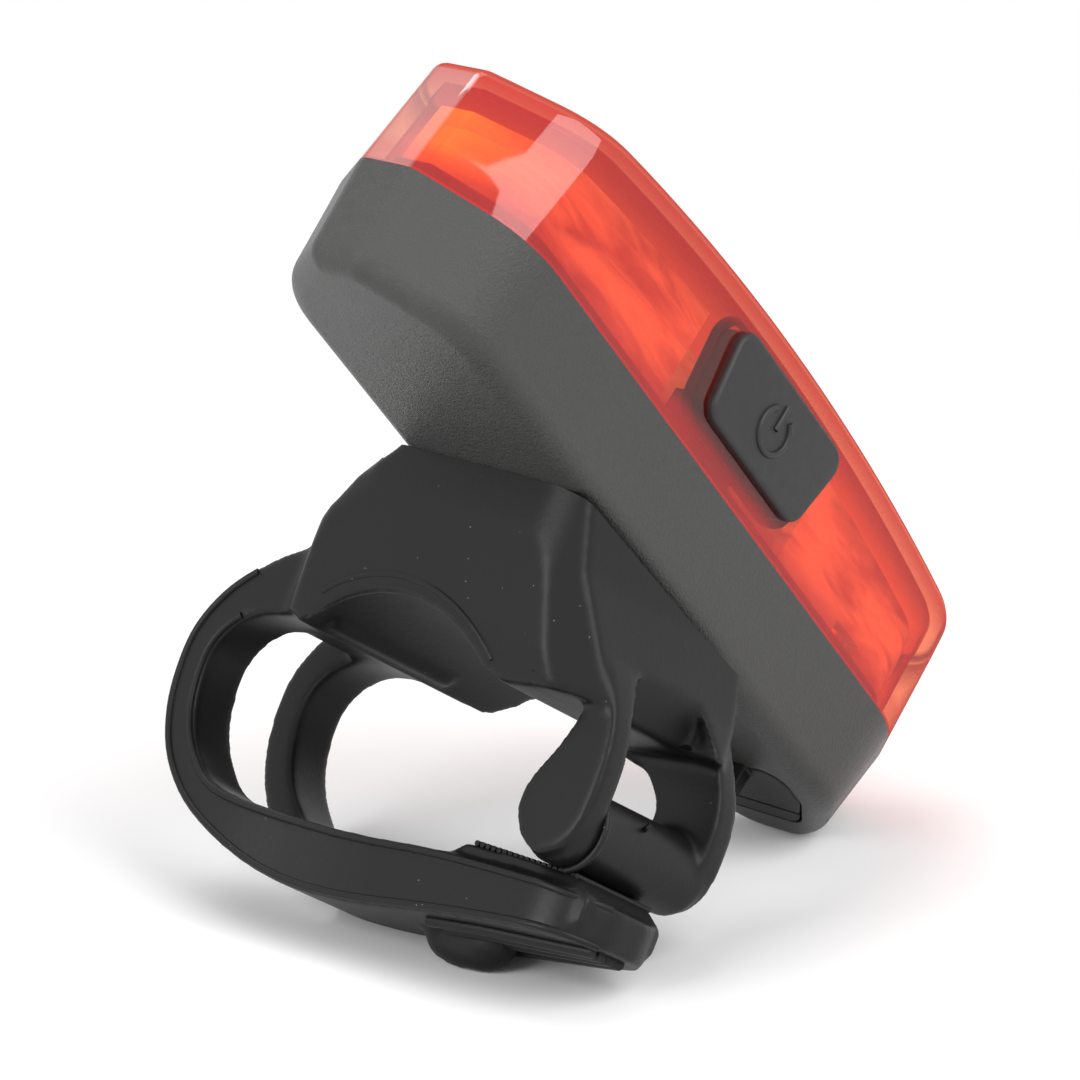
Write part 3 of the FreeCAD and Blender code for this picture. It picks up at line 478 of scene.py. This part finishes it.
outward = lens_finish.node("ShaderNodeMath", {"operation": "ABSOLUTE"}, [lens_finish.dot(normal, (0, 0, 1))])
# Painted shade: the red grows deep and less clear in a line at the seam, in a mottled band over the foot, in
# a line along the rounded front edge, and in a band on the walls under it.
painted_shades = (
    0.9 * lens_finish.ramp(above_seam, *SEAM_SHADE_LINE),
    (0.30 + 0.35 * lens_finish.grain(160.0, 2.0)) * lens_finish.ramp(above_seam, *FOOT_SHADE_BAND),
    0.85 * lens_finish.ramp(below_rim, *FRONT_SHADE_LINE) * lens_finish.ramp(outward, 0.94, 0.7),
    0.8 * lens_finish.ramp(below_rim, *BROW_SHADE_BAND) * lens_finish.ramp(outward, 0.5, 0.2),
)
share = 0.03 + 0.9 * grazing
for shade in painted_shades:
    share = lens_finish.larger(share, shade)
tinted = lens_finish.mixed(share, clear, lens_finish.own())
mirror = lens_finish.node("ShaderNodeBsdfGlossy", {}, {"Color": (1.0, 1.0, 1.0, 1.0), "Roughness": 0.04})
nose_wall = lens_finish.ramp(lens_finish.dot(normal, (0.776, -0.63, 0.04)), 0.8, 0.95)
nose_end = 0.2 * lens_finish.ramp(lens_finish.dot(normal, (1, 0, 0)), 0.95, 0.99)
seen_inside = lens_finish.node("ShaderNodeNewGeometry", {}, [], "Backfacing")
gloss = (0.05 + nose_end + (0.04 + 1.2 * nose_wall) * (grazing * facing * facing)) * (1.0 - 0.8 * seen_inside)
lens_finish.show(lens_finish.mixed(gloss, tinted, mirror))
lens_finish.coat(lens)
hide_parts("lens")
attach(lens, "light")

# Power button
# A soft silicone pad pressed through a window in the lens's side wall, with a rubber gasket round it. A power
# sign stands up from its face.
BUTTON_X = 0.1
BUTTON_BACK = (14.4, 2.9)
BUTTON_FRONT = (17.2, 10.5)
BUTTON_RADIUS = 1.7
BUTTON_PROUD = 0.7
BUTTON_DEPTH = 2.2
BUTTON_EDGE = 0.45
SIGN_PLACE = (0.4, 6.6)
SIGN_RADIUS = 1.8
SIGN_STROKE = 0.27
SIGN_BAR = (0.1, 2.2)
SIGN_START = 125
SIGN_SWEEP = 290
SIGN_STEPS = 24


def outline(shape, points, radii, place, steps=8):
    """Lay a flat face with rounded corners in the plane that place gives."""
    corners = [shape.verts.new(place(u, v)) for u, v in points]
    shape.faces.new(corners)
    reaches = []
    for index, corner in enumerate(corners):
        before = (corners[index - 1].co - corner.co).normalized()
        after = (corners[(index + 1) % len(corners)].co - corner.co).normalized()
        reaches.append(radii[index] / math.tan(before.angle(after) / 2))
    for corner, reach in zip(corners, reaches):
        if reach > 0:
            bmesh.ops.bevel(shape, geom=[corner], offset=reach, offset_type="OFFSET", segments=steps,
                            profile=0.5, affect="VERTICES", material=-1)
    return max(shape.faces, key=lambda face: len(face.verts))


def pull(shape, face, way):
    """Extrude a face along a vector and close the solid."""
    grown = bmesh.ops.extrude_face_region(shape, geom=[face], use_keep_orig=True)
    moved = [item for item in grown["geom"] if isinstance(item, bmesh.types.BMVert)]
    bmesh.ops.translate(shape, verts=moved, vec=way)
    bmesh.ops.recalc_face_normals(shape, faces=shape.faces)


def raised_bead(name, points, radius, frame_matrix):
    """Half-sunk round bead along a line on a moulded face."""
    line = bpy.data.curves.new(name, "CURVE")
    line.dimensions = "3D"
    line.bevel_depth = radius
    line.bevel_resolution = 3
    line.use_fill_caps = True
    spline = line.splines.new("POLY")
    spline.points.add(len(points) - 1)
    for point, place in zip(spline.points, points):
        point.co = (*place, 1.0)
    holder = bpy.data.objects.new(name, line)
    bpy.context.scene.collection.objects.link(holder)
    data = bpy.data.meshes.new_from_object(holder.evaluated_get(bpy.context.evaluated_depsgraph_get()))
    bpy.data.objects.remove(holder)
    bead = bmesh.new()
    bead.from_mesh(data)
    bpy.data.meshes.remove(data)
    bmesh.ops.recalc_face_normals(bead, faces=bead.faces)
    return finished(name, bead, frame_matrix, 60.0)


def joined(main, *others):
    """Put the meshes of several pieces into the first."""
    whole = bmesh.new()
    for piece in (main, *others):
        whole.from_mesh(piece.data)
    whole.to_mesh(main.data)
    whole.free()
    main.data.shade_smooth()
    main.data.set_sharp_from_angle(angle=math.radians(40))
    for piece in others:
        bpy.data.objects.remove(piece)


button_turn = Matrix.Translation((0, LENS_HALF_WIDTH, 0)) @ Matrix.Rotation(LENS_DRAFT, 4, "X")
button_frame = light_frame @ button_turn
button_shape = bmesh.new()
button_corners = (
    (BUTTON_X - BUTTON_BACK[0] / 2, BUTTON_BACK[1]),
    (BUTTON_X + BUTTON_BACK[0] / 2, BUTTON_BACK[1]),
    (BUTTON_X + BUTTON_FRONT[0] / 2, BUTTON_FRONT[1]),
    (BUTTON_X - BUTTON_FRONT[0] / 2, BUTTON_FRONT[1]),
)
button_face = outline(button_shape, button_corners, (BUTTON_RADIUS,) * 4, lambda x, z: (x, -BUTTON_DEPTH, z))
pull(button_shape, button_face, (0, BUTTON_PROUD + BUTTON_DEPTH, 0))
button_rim = [edge for edge in button_shape.edges
              if all(vert.co.y > BUTTON_PROUD - 0.01 for vert in edge.verts)]
bmesh.ops.bevel(button_shape, geom=button_rim, offset=BUTTON_EDGE, offset_type="OFFSET", segments=5,
                profile=0.5, affect="EDGES", material=-1)
button = finished("power_button_pad", button_shape, button_frame)
sign_x, sign_z = SIGN_PLACE
arc = []
for step in range(SIGN_STEPS + 1):
    turn = math.radians(SIGN_START + step * (SIGN_SWEEP / SIGN_STEPS))
    arc.append((sign_x + SIGN_RADIUS * math.cos(turn), BUTTON_PROUD, sign_z + SIGN_RADIUS * math.sin(turn)))
sign_ring = raised_bead("sign_ring", arc, SIGN_STROKE, button_frame)
bar = [(sign_x, BUTTON_PROUD, sign_z + reach) for reach in SIGN_BAR]
sign_bar = raised_bead("sign_bar", bar, SIGN_STROKE, button_frame)
joined(button, sign_ring, sign_bar)
button_finish = Finish("button_silicone", (0.012, 0.012, 0.0125), 0.5)
button_finish.set("Roughness", 0.42 + 0.2 * button_finish.grain(900.0))
button_finish.raised(button_finish.grain(3500.0), 0.00003, 0.6)
button_finish.coat(button)
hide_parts("power_button")
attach(button, "button_pad")
gasket = softened("button_gasket_ring", "button_gasket", 0.0001, 0.00004)
rubber_finish.coat(gasket)
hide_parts("button_gasket")
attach(gasket, "light")

# Charging port cover
# A rubber flap fills the recess in the tub's back. A peg holds its end by the heel, and a pull tab stands at
# its other end.
flap = softened("port_cover_flap", "port_cover", 0.0002)
flap_root = softened("port_cover_root", "cover_anchor", 0.0001)
rubber_finish.coat(flap, flap_root)
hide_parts("port_cover")
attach(flap, "cover")
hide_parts("cover_anchor")
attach(flap_root, "light")

# Strap saddle
# The strap mount is one silicone rubber moulding, screwed to the tub's back, with the seat post's hollow
# under it. Its sizes are millimetres along the post (s), across it (y) and away from it (n).
POST_TILT = math.radians(17)
POST_AXIS = (-4.4, -27.8)
POST_RADIUS = 13.6
POST_RIM_RADIUS = 12.8
BACK_Z = -8.6
SCREW_PLACE = (-3, -3)
SCREW_WELL_RADIUS = 4.3
SCREW_HOLE_RADIUS = 1.7
SADDLE_FLANK = ((-7.6, -2.0), (-9.4, -4.9), (-12.4, -7.8), (-15.0, -12.2), (-15.0, -20.2), (-4.4, -20.2),
                (12.8, -18.3), (15.4, -18.3), (13.4, -15.0), (10.8, -9.6), (9.0, -2.0))
SADDLE_FLANK_RADII = (0, 2.0, 3.0, 2.0, 0, 0, 0, 0, 2.0, 3.0, 0)
SADDLE_SIDE = ((-11.3, -8.0), (-13.9, -14.2), (-13.3, -18.4), (-7.6, -20.4), (11.4, -20.4), (13.0, -16.0),
               (14.7, -8.0), (14.7, -2.0), (-11.3, -2.0))
SADDLE_SIDE_RADII = (0, 2.0, 1.0, 0, 0, 3.0, 0, 0, 0)
SADDLE_PLAN = ((-12.8, -15.1), (13.8, -15.1), (14.7, -10.0), (14.7, 8.0), (9.3, 15.0), (9.3, 18.0),
               (-2.0, 18.0), (-7.0, 13.0), (-8.3, 8.0), (-12.6, 1.0), (-14.3, -9.0))
SADDLE_PLAN_RADII = (2.0, 1.5, 3.0, 5.0, 2.0, 0, 0, 4.0, 3.0, 5.0, 5.0)
VALLEY = ((-4.9, -14.0), (5.9, -14.0), (5.9, 3.0), (3.6, 7.4), (-0.2, 8.0), (-4.6, 3.6))
VALLEY_RADII = (0, 0, 3.0, 2.5, 2.0, 3.0)
VALLEY_LEAN = 0.36
VALLEY_ROOT = Vector((0.9, 11.3, -20.0))
strap_to_light = Matrix.Rotation(POST_TILT, 4, "Y")
strap_frame = light_frame @ strap_to_light


def along_post(low):
    """Place section points at a station along the seat post."""
    return lambda y, n: (low, y, n)


def over_post(low):
    """Place plan points at a height over the seat post."""
    return lambda s, y: (s, y, low)


def block(points, radii, place, way, steps=6):
    """Solid with a rounded outline, pulled along a vector."""
    shape = bmesh.new()
    face = outline(shape, points, radii, place, steps)
    pull(shape, face, way)
    return finished("block", shape, Matrix.Identity(4))


def saddle_side():
    """Solid with the saddle's outline from the side, wide enough to cut with."""
    return block(SADDLE_SIDE, SADDLE_SIDE_RADII, lambda s, n: (s, -40, n), (0, 80, 0))


def rod(radius, low, high, sides=64):
    """Round bar between two points."""
    way = Vector(high) - Vector(low)
    shape = bmesh.new()
    bmesh.ops.create_cone(shape, cap_ends=True, segments=sides, radius1=radius, radius2=radius,
                          depth=way.length)
    turn = way.to_track_quat("Z", "Y").to_matrix().to_4x4()
    return finished("rod", shape, Matrix.Translation((Vector(low) + Vector(high)) / 2) @ turn)


def post(radius, low, high):
    """Stretch of the seat post between two stations."""
    return rod(radius, (low, *POST_AXIS), (high, *POST_AXIS), 128)


def screw_bore(radius, top, bottom):
    """Round bore for the strap's screw, square to the tub's back."""
    bore = rod(radius, (*SCREW_PLACE, top), (*SCREW_PLACE, bottom))
    bore.data.transform(strap_to_light.inverted())
    return bore


def settle(piece):
    """Make a piece's modifiers final."""
    bpy.context.view_layer.update()
    data = bpy.data.meshes.new_from_object(piece.evaluated_get(bpy.context.evaluated_depsgraph_get()))
    piece.modifiers.clear()
    old = piece.data
    piece.data = data
    bpy.data.meshes.remove(old)


def cut_with(piece, tool, operation):
    """Cut a second solid away from a piece, or keep what both share."""
    change = piece.modifiers.new("cut", "BOOLEAN")
    change.object = tool
    change.operation = operation
    change.solver = "EXACT"
    settle(piece)
    bpy.data.objects.remove(tool)


strap = block(SADDLE_FLANK, SADDLE_FLANK_RADII, along_post(-20), (40, 0, 0))
cut_with(strap, saddle_side(), "INTERSECT")
cut_with(strap, block(SADDLE_PLAN, SADDLE_PLAN_RADII, over_post(-40), (0, 0, 40)), "INTERSECT")
valley_up = Vector((0, VALLEY_LEAN, 1)).normalized()
valley_out = Vector((0, 1, -VALLEY_LEAN)).normalized()
valley = block(VALLEY, VALLEY_RADII, lambda s, u: VALLEY_ROOT + Vector((s, 0, 0)) + u * valley_up,
               20 * valley_out)
cut_with(strap, valley, "DIFFERENCE")
cut_with(strap, post(POST_RADIUS, -30, 11.9), "DIFFERENCE")
cut_with(strap, post(POST_RIM_RADIUS, 11.0, 30), "DIFFERENCE")
cut_with(strap, screw_bore(SCREW_WELL_RADIUS, -10.4, -40), "DIFFERENCE")
cut_with(strap, screw_bore(SCREW_HOLE_RADIUS, 0, -12), "DIFFERENCE")

# Bands and tongue
# From the saddle's far side two bands bend down round the post and run together into the tongue. The tongue
# has a raised pad on its inside, and a lug under it that hooks on the loop's bar.
BAND_OUTER = ((-11.8, -7.4), (-14.9, -10.8), (-17.9, -12.7), (-21.4, -14.7), (-24.7, -17.6), (-26.6, -20.9),
              (-27.0, -24.2), (-26.3, -28.2), (-24.1, -32.0), (-19.8, -35.2), (-12.8, -37.5), (-5.3, -37.7),
              (6.8, -35.9), (19.4, -34.4))
BAND_INNER = ((19.4, -31.5), (14.0, -31.2), (3.4, -31.6), (-7.0, -32.6), (-17.2, -32.7), (-21.1, -30.9),
              (-23.5, -27.6), (-24.2, -23.6), (-23.3, -21.1), (-21.2, -19.4), (-18.2, -18.7),
              (-13.6, -18.6))
NOSE_EDGE = ((10.0, -30.0), (10.0, -22.0), (9.6, -16.0), (8.7, -10.0), (8.1, -4.0), (8.0, 3.0), (8.0, 13.2))
PORT_EDGE = ((-3.7, 13.2), (-3.7, 3.0), (-3.8, -4.0), (-4.5, -10.0), (-5.8, -16.0), (-6.6, -22.0),
             (-6.6, -30.0))
TONGUE_NOSE = 8.0
TONGUE_PORT = -3.7
TIP_START = 13.2
TIP_RADIUS = 5.2
GAP_LOW = -1.9
GAP_HIGH = 5.3
GAP_RADII = (0, 0, 3.4, 3.4)
ROOT_OUTER = ((-11.0, -5.2), (-14.9, -10.8), (-17.9, -12.7), (-21.4, -14.7))
ROOT_INNER = ((-21.4, -18.9), (-17.9, -18.7), (-11.0, -18.6))
ROOT_PLAN = ((-10.5, -10.0), (13.9, -10.0), (13.9, -14.6), (10.0, -17.6), (10.0, -22.0), (-6.6, -22.0),
             (-6.6, -17.6), (-10.5, -14.0))
ROOT_PLAN_RADII = (0, 0, 1.5, 3.0, 0, 0, 3.0, 1.5)
TONGUE_PAD = ((2.6, -32.2), (4.4, -30.4), (11.0, -30.1), (15.5, -30.2), (17.4, -31.4), (17.4, -33.5),
              (2.6, -33.5))
LUG_PLAN = ((-1.1, -0.9), (2.7, -0.9), (2.7, 7.2), (-1.1, 7.2))
LUG_RADIUS = 1.85
NUB_PLACE = (0.8, 3.1, -37.0)
NUB_RADII = (1.9, 4.05, 2.1)


def curved(points, steps=5):
    """Run a smooth line through the points of an outline."""
    line = []
    for index in range(len(points) - 1):
        four = [Vector(points[min(max(index + shift, 0), len(points) - 1)]) for shift in (-1, 0, 1, 2)]
        for step in range(steps):
            t = step / steps
            line.append(tuple(0.5 * (2 * four[1] + (four[2] - four[0]) * t
                                     + (2 * four[0] - 5 * four[1] + 4 * four[2] - four[3]) * t ** 2
                                     + (3 * four[1] - four[0] - 3 * four[2] + four[3]) * t ** 3)))
    line.append(points[-1])
    return line


def sheet(outer, inner, low, width):
    """Band of rubber between two smooth lines, seen from the end of the seat post."""
    points = curved(outer) + curved(inner)
    return block(points, (0,) * len(points), along_post(low), (width, 0, 0))


def band_gap(end, low, height):
    """Gap between the two bands, rounded where it ends."""
    points = ((GAP_LOW, -40.0), (GAP_HIGH, -40.0), (GAP_HIGH, end), (GAP_LOW, end))
    return block(points, GAP_RADII, over_post(low), (0, 0, height))


def trim(piece, spot, way):
    """Cut away what lies past a plane and close the cut."""
    shape = bmesh.new()
    shape.from_mesh(piece.data)
    everything = shape.verts[:] + shape.edges[:] + shape.faces[:]
    bmesh.ops.bisect_plane(shape, geom=everything, plane_co=spot, plane_no=way, clear_outer=True)
    bmesh.ops.holes_fill(shape, edges=[edge for edge in shape.edges if edge.is_boundary], sides=0)
    shape.to_mesh(piece.data)
    shape.free()


bands = sheet(BAND_OUTER, BAND_INNER, -6.6, 16.6)
nose_edge = curved(NOSE_EDGE)
plan_points = list(nose_edge)
for corner_s, start in ((TONGUE_NOSE - TIP_RADIUS, 0), (TONGUE_PORT + TIP_RADIUS, 90)):
    for step in range(1, 9):
        turn = math.radians(start + step * 10)
        plan_points.append((corner_s + TIP_RADIUS * math.cos(turn), TIP_START + TIP_RADIUS * math.sin(turn)))
plan_points += curved(PORT_EDGE)
cut_with(bands, block(plan_points, (0,) * len(plan_points), over_post(-60), (0, 0, 60)), "INTERSECT")
cut_with(bands, band_gap(-18.0, -25.0, 25.0), "DIFFERENCE")
cut_with(bands, band_gap(-11.4, -60.0, 35.1), "DIFFERENCE")
root_flare = sheet(ROOT_OUTER, ROOT_INNER, -12.0, 28.0)
cut_with(root_flare, saddle_side(), "INTERSECT")
cut_with(root_flare, post(POST_RADIUS, -30, 30), "DIFFERENCE")
cut_with(root_flare, block(ROOT_PLAN, ROOT_PLAN_RADII, over_post(-60), (0, 0, 60)), "INTERSECT")
pad = block(TONGUE_PAD, (0,) * len(TONGUE_PAD), along_post(-2.5), (9.3, 0, 0))
lug = block(LUG_PLAN, (LUG_RADIUS,) * 4, over_post(-37.2), (0, 0, 3.2))
nub_shape = bmesh.new()
bmesh.ops.create_icosphere(nub_shape, subdivisions=4, radius=1.0)
nub = finished("nub", nub_shape, Matrix.Translation(NUB_PLACE) @ Matrix.Diagonal((*NUB_RADII, 1.0)))
floor_way = (strap_frame.inverted().to_3x3() @ Vector((0, 0, 1))).normalized()
floor_spot = strap_frame.inverted() @ Vector((0, 0, 0.0001))
trim(nub, floor_spot, -floor_way)

# Stretch loop
# On the button side two curved arms of the same rubber hang from the saddle and carry a round cross bar. It
# is stretched over the tongue, whose lug hooks on the bar. The arms' stumps stay in the saddle's skin.
PORT_ARM_OUTER = ((9.6, -10.5), (11.8, -14.4), (14.3, -18.0), (15.9, -21.0), (16.4, -24.2), (16.1, -27.2),
                  (15.0, -29.0))
PORT_ARM_INNER = ((13.2, -29.9), (11.2, -28.9), (9.9, -26.8), (10.1, -24.4), (10.0, -22.4), (8.0, -20.3),
                  (4.0, -18.6), (4.0, -10.5))
ARM_OUTER = ((11.6, -12.6), (14.2, -16.0), (15.7, -19.0), (16.3, -21.5), (16.5, -24.5), (16.1, -27.2),
             (15.0, -29.0))
ARM_INNER = ((13.2, -29.9), (11.2, -28.9), (9.9, -26.8), (10.2, -24.6), (11.6, -21.6), (12.4, -18.6),
             (11.8, -15.6), (10.0, -12.6))
ARM_WIDTH = 2.5
BAR_RADIUS = 3.1
BAR_AXIS = (13.2, -27.0)
STUMP_CUT = -22.5
ARMS_START = 9.3
LOOP_ROOT = -17.6
LOOP_END = -31.0
STUMP_END = -26.0
SKIN_GRAIN = 0.28
SKIN_ROUNDS = 14
SKIN_CREASE = 38.0


def twin(piece):
    """Second copy of a solid."""
    copy = bpy.data.objects.new(piece.name, piece.data.copy())
    bpy.context.scene.collection.objects.link(copy)
    return copy


def moulded(piece):
    """Melt a piece's solids into one skin with soft edges, flat where it meets the tub and the table."""
    skin = piece.modifiers.new("skin", "REMESH")
    skin.mode = "VOXEL"
    skin.voxel_size = SKIN_GRAIN
    skin.adaptivity = 0.0
    flow = piece.modifiers.new("flow", "SMOOTH")
    flow.factor = 0.5
    flow.iterations = SKIN_ROUNDS
    settle(piece)
    trim(piece, back_way * (BACK_Z - 0.01), back_way)
    trim(piece, floor_spot, -floor_way)


def in_arms(place, margin, end):
    """Tell whether a place lies in the loop's arms, between their roots and an end."""
    return place.y > ARMS_START and end < place.z < LOOP_ROOT + margin


def split(piece, keep, end):
    """Cut a skin across the roots of the loop's arms and keep one side of the cut."""
    shape = bmesh.new()
    shape.from_mesh(piece.data)
    bpy.data.objects.remove(piece)
    near_cut = [face for face in shape.faces if in_arms(face.calc_center_median(), 1.0, end)]
    spot = (0, 0, LOOP_ROOT)
    bmesh.ops.bisect_plane(shape, geom=with_edges(near_cut), plane_co=spot, plane_no=(0, 0, 1))
    lost = [face for face in shape.faces if in_arms(face.calc_center_median(), 0.0, end) != keep]
    bmesh.ops.delete(shape, geom=lost, context="FACES")
    bmesh.ops.holes_fill(shape, edges=[edge for edge in shape.edges if edge.is_boundary], sides=0)
    return shape


arms = [sheet(PORT_ARM_OUTER, PORT_ARM_INNER, -7.5, ARM_WIDTH), sheet(ARM_OUTER, ARM_INNER, 6.8, ARM_WIDTH)]
cross_bar = rod(BAR_RADIUS, (-6.3, *BAR_AXIS), (8.0, *BAR_AXIS))
back_way = strap_to_light.inverted().to_3x3() @ Vector((0, 0, 1))
loop = twin(strap)
stumps = [twin(arm) for arm in arms]
for stump in stumps:
    trim(stump, Vector((0, 0, STUMP_CUT)), Vector((0, 0, -1)))
joined(loop, *arms, cross_bar)
joined(strap, bands, root_flare, pad, lug, nub, *stumps)
moulded(strap)
moulded(loop)
strap_piece = finished("strap_saddle_and_tongue", split(strap, False, STUMP_END), strap_frame, SKIN_CREASE)
loop_piece = finished("strap_stretch_loop", split(loop, True, LOOP_END), strap_frame, SKIN_CREASE)

# Lips and ribs of the strap
# The mould leaves a lip along the bands' nose edges, round the post's hollow and round the bar's end, and a
# small gate mark on the bar. Fine ribs cross the tongue's pad, and four long ribs run under the tongue.
LIP_RADIUS = 0.3
LIP_INSET = 0.42
LIP_REACH = 12.8
PAD_RIBS = 19
PAD_RIB_PITCH = 0.56
FINE_RIB_RADIUS = 0.22
GRIP_RIBS = 4
GRIP_RIB_PITCH = 2.3
GRIP_RIB_RADIUS = 0.5
HOLLOW_LIP_RADIUS = 0.26
HOLLOW_LIP_REACH = 14.0
EYE_LIP_REACH = 3.35
GATE_MARK = ((1.6, 15.6, -25.1), (1.75, 15.9, -24.9), (1.6, 16.0, -24.6))


def edge_station(y):
    """Where the nose edge of the band and the tongue runs."""
    low, high = next(pair for pair in zip(nose_edge, nose_edge[1:]) if pair[0][1] <= y <= pair[1][1])
    return low[0] + (high[0] - low[0]) * (y - low[1]) / (high[1] - low[1])


def band_edge(points):
    """Nose edge along a stretch of the band's section, up to where the tip is round."""
    return [(edge_station(y) - 0.1, y, n) for y, n in points if y < LIP_REACH]


def lip(points, radius):
    """Bead of rubber along an edge of the strap."""
    return raised_bead("lip", points, radius, strap_frame)


def tip_edge(section):
    """Follow the tongue's edge round its tip, on one of the band's two faces."""
    line = []
    low, high = sorted(section[-2:] if section[-1][0] > 15 else section[:2])
    for step in range(9):
        turn = math.radians(step * 9)
        y = TIP_START + (TIP_RADIUS - 0.3) * math.sin(turn)
        n = low[1] + (high[1] - low[1]) * (y - low[0]) / (high[0] - low[0])
        line.append((TONGUE_NOSE - TIP_RADIUS + (TIP_RADIUS - 0.1) * math.cos(turn), y, n))
    return line


def nose_face(n):
    """Where the saddle's nose side runs, at a distance from the post."""
    if n > -16.0:
        return 14.7 + (n + 8.0) * 0.2125
    return 13.0 + (n + 16.0) * 0.3636


outer_lip = band_edge(curved(BAND_OUTER)[17:]) + tip_edge(BAND_OUTER)
inner_lip = list(reversed(tip_edge(BAND_INNER))) + band_edge(curved(BAND_INNER)[:44])
details = []
for line in (outer_lip, inner_lip):
    moved = []
    for index, place in enumerate(line):
        before = Vector(line[max(index - 1, 0)])
        after = Vector(line[min(index + 1, len(line) - 1)])
        flow_way = (after - before).normalized()
        inward = Vector((0, -flow_way.z, flow_way.y)) * LIP_INSET
        moved.append(tuple(Vector(place) + inward))
    details.append(lip(moved, LIP_RADIUS))
for index in range(PAD_RIBS):
    y = 5.4 + PAD_RIB_PITCH * index
    details.append(lip([(-2.3, y, -30.22), (6.6, y, -30.22)], FINE_RIB_RADIUS))
for index in range(GRIP_RIBS):
    start_s = -1.2 + GRIP_RIB_PITCH * index
    grip_rib = [(start_s, 3.0, -36.6), (start_s * 0.9 + 0.25, 8.0, -35.9),
                (start_s * 0.45 + 1.2, 17.2, -34.8)]
    details.append(lip(grip_rib, GRIP_RIB_RADIUS))
hollow_lip = []
for index in range(21):
    turn = math.radians(46 + index * 4.0)
    n = POST_AXIS[1] + HOLLOW_LIP_REACH * math.sin(turn)
    hollow_lip.append((nose_face(n) - 0.12, POST_AXIS[0] + HOLLOW_LIP_REACH * math.cos(turn), n))
eye_lip = []
for index in range(15):
    turn = math.radians(-70 + index * 11)
    y = BAR_AXIS[0] + EYE_LIP_REACH * math.cos(turn)
    n = BAR_AXIS[1] + EYE_LIP_REACH * math.sin(turn)
    eye_lip.append((6.7, y, n))
joined(strap_piece, *details, lip(hollow_lip, HOLLOW_LIP_RADIUS))
joined(loop_piece, lip(eye_lip, LIP_RADIUS), lip(GATE_MARK, FINE_RIB_RADIUS))
rubber_finish.coat(strap_piece, loop_piece)
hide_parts("strap_saddle", "tongue_strap")
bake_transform(strap_piece)
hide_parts("clasp_loop")
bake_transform(loop_piece)

# Floor
# A matt white sheet lies under the light and runs on to the horizon. It shows the light's shadow near it, and
# turns into plain white further out.
FLOOR_HALF_WIDTH = 6.0
SHADE_FROM = 0.07
WHITE_FROM = 0.24
floor_shape = bmesh.new()
bmesh.ops.create_grid(floor_shape, x_segments=1, y_segments=1, size=FLOOR_HALF_WIDTH)
floor = finished("floor", floor_shape, Matrix.Identity(4))
floor_finish = Finish("white_sheet", (0.95, 0.95, 0.95), 0.9)
floor_finish.set("Specular IOR Level", 0.0)
spread = floor_finish.node("ShaderNodeVectorMath", {"operation": "LENGTH"}, [floor_finish.place], "Value")
far_share = floor_finish.ramp(spread, SHADE_FROM, WHITE_FROM)
paper_white = floor_finish.node("ShaderNodeEmission", {}, {"Color": (1.0, 1.0, 1.0, 1.0), "Strength": 1.0})
floor_finish.show(floor_finish.mixed(far_share, floor_finish.own(), paper_white))
floor_finish.coat(floor)


# Walls of the room
# The walls give a soft white light from all sides. They look plain white behind the light, in its polished
# faces and through its lens.
class Room(Finish):
    """Light of the walls, worked out from the nodes of a world."""

    def __init__(self, name):
        world = bpy.data.worlds.new(name)
        bpy.context.scene.world = world
        world.use_nodes = True
        self.tree = world.node_tree
        self.shader = self.tree.nodes["Background"]
        self.output = self.tree.nodes["World Output"]


WALL_LIGHT = 0.55
WALL_WHITE = (1, 1, 1, 1)
room = Room("studio")
room.set("Color", WALL_WHITE)
room.set("Strength", WALL_LIGHT)
backdrop = room.node("ShaderNodeBackground", {}, {"Color": WALL_WHITE, "Strength": 1.0})
to_camera = room.node("ShaderNodeLightPath", {}, [], "Is Camera Ray")
through_lens = room.node("ShaderNodeLightPath", {}, [], "Is Transmission Ray")
in_gloss = room.node("ShaderNodeLightPath", {}, [], "Is Glossy Ray")
seen = room.larger(in_gloss, room.larger(to_camera, through_lens))
room.show(room.mixed(seen, room.own(), backdrop))


# Soft boxes
# Three square soft boxes light the object: a wide one on the button side, one past the nose and one overhead.
def soft_box(name, place, aim, width, watts):
    """Square soft box that faces the light."""
    lamp = bpy.data.lights.new(name, "AREA")
    lamp.shape = "SQUARE"
    lamp.size = width
    lamp.energy = watts
    holder = bpy.data.objects.new(name, lamp)
    bpy.context.scene.collection.objects.link(holder)
    way = Vector(aim) - Vector(place)
    turn = way.to_track_quat("-Z", "Y").to_matrix().to_4x4()
    holder.matrix_world = Matrix.Translation(Vector(place)) @ turn


soft_box("side_box", (-0.72, -0.01, 0.62), (0, 0, 0.04), 0.72, 6.4)
soft_box("nose_box", (0.1, 0.9, 0.45), (0, 0, 0.03), 0.5, 5.4)
soft_box("top_box", (0.35, -0.1, 0.95), (0, 0, 0.03), 0.6, 2.4)

bpy.context.view_layer.update()
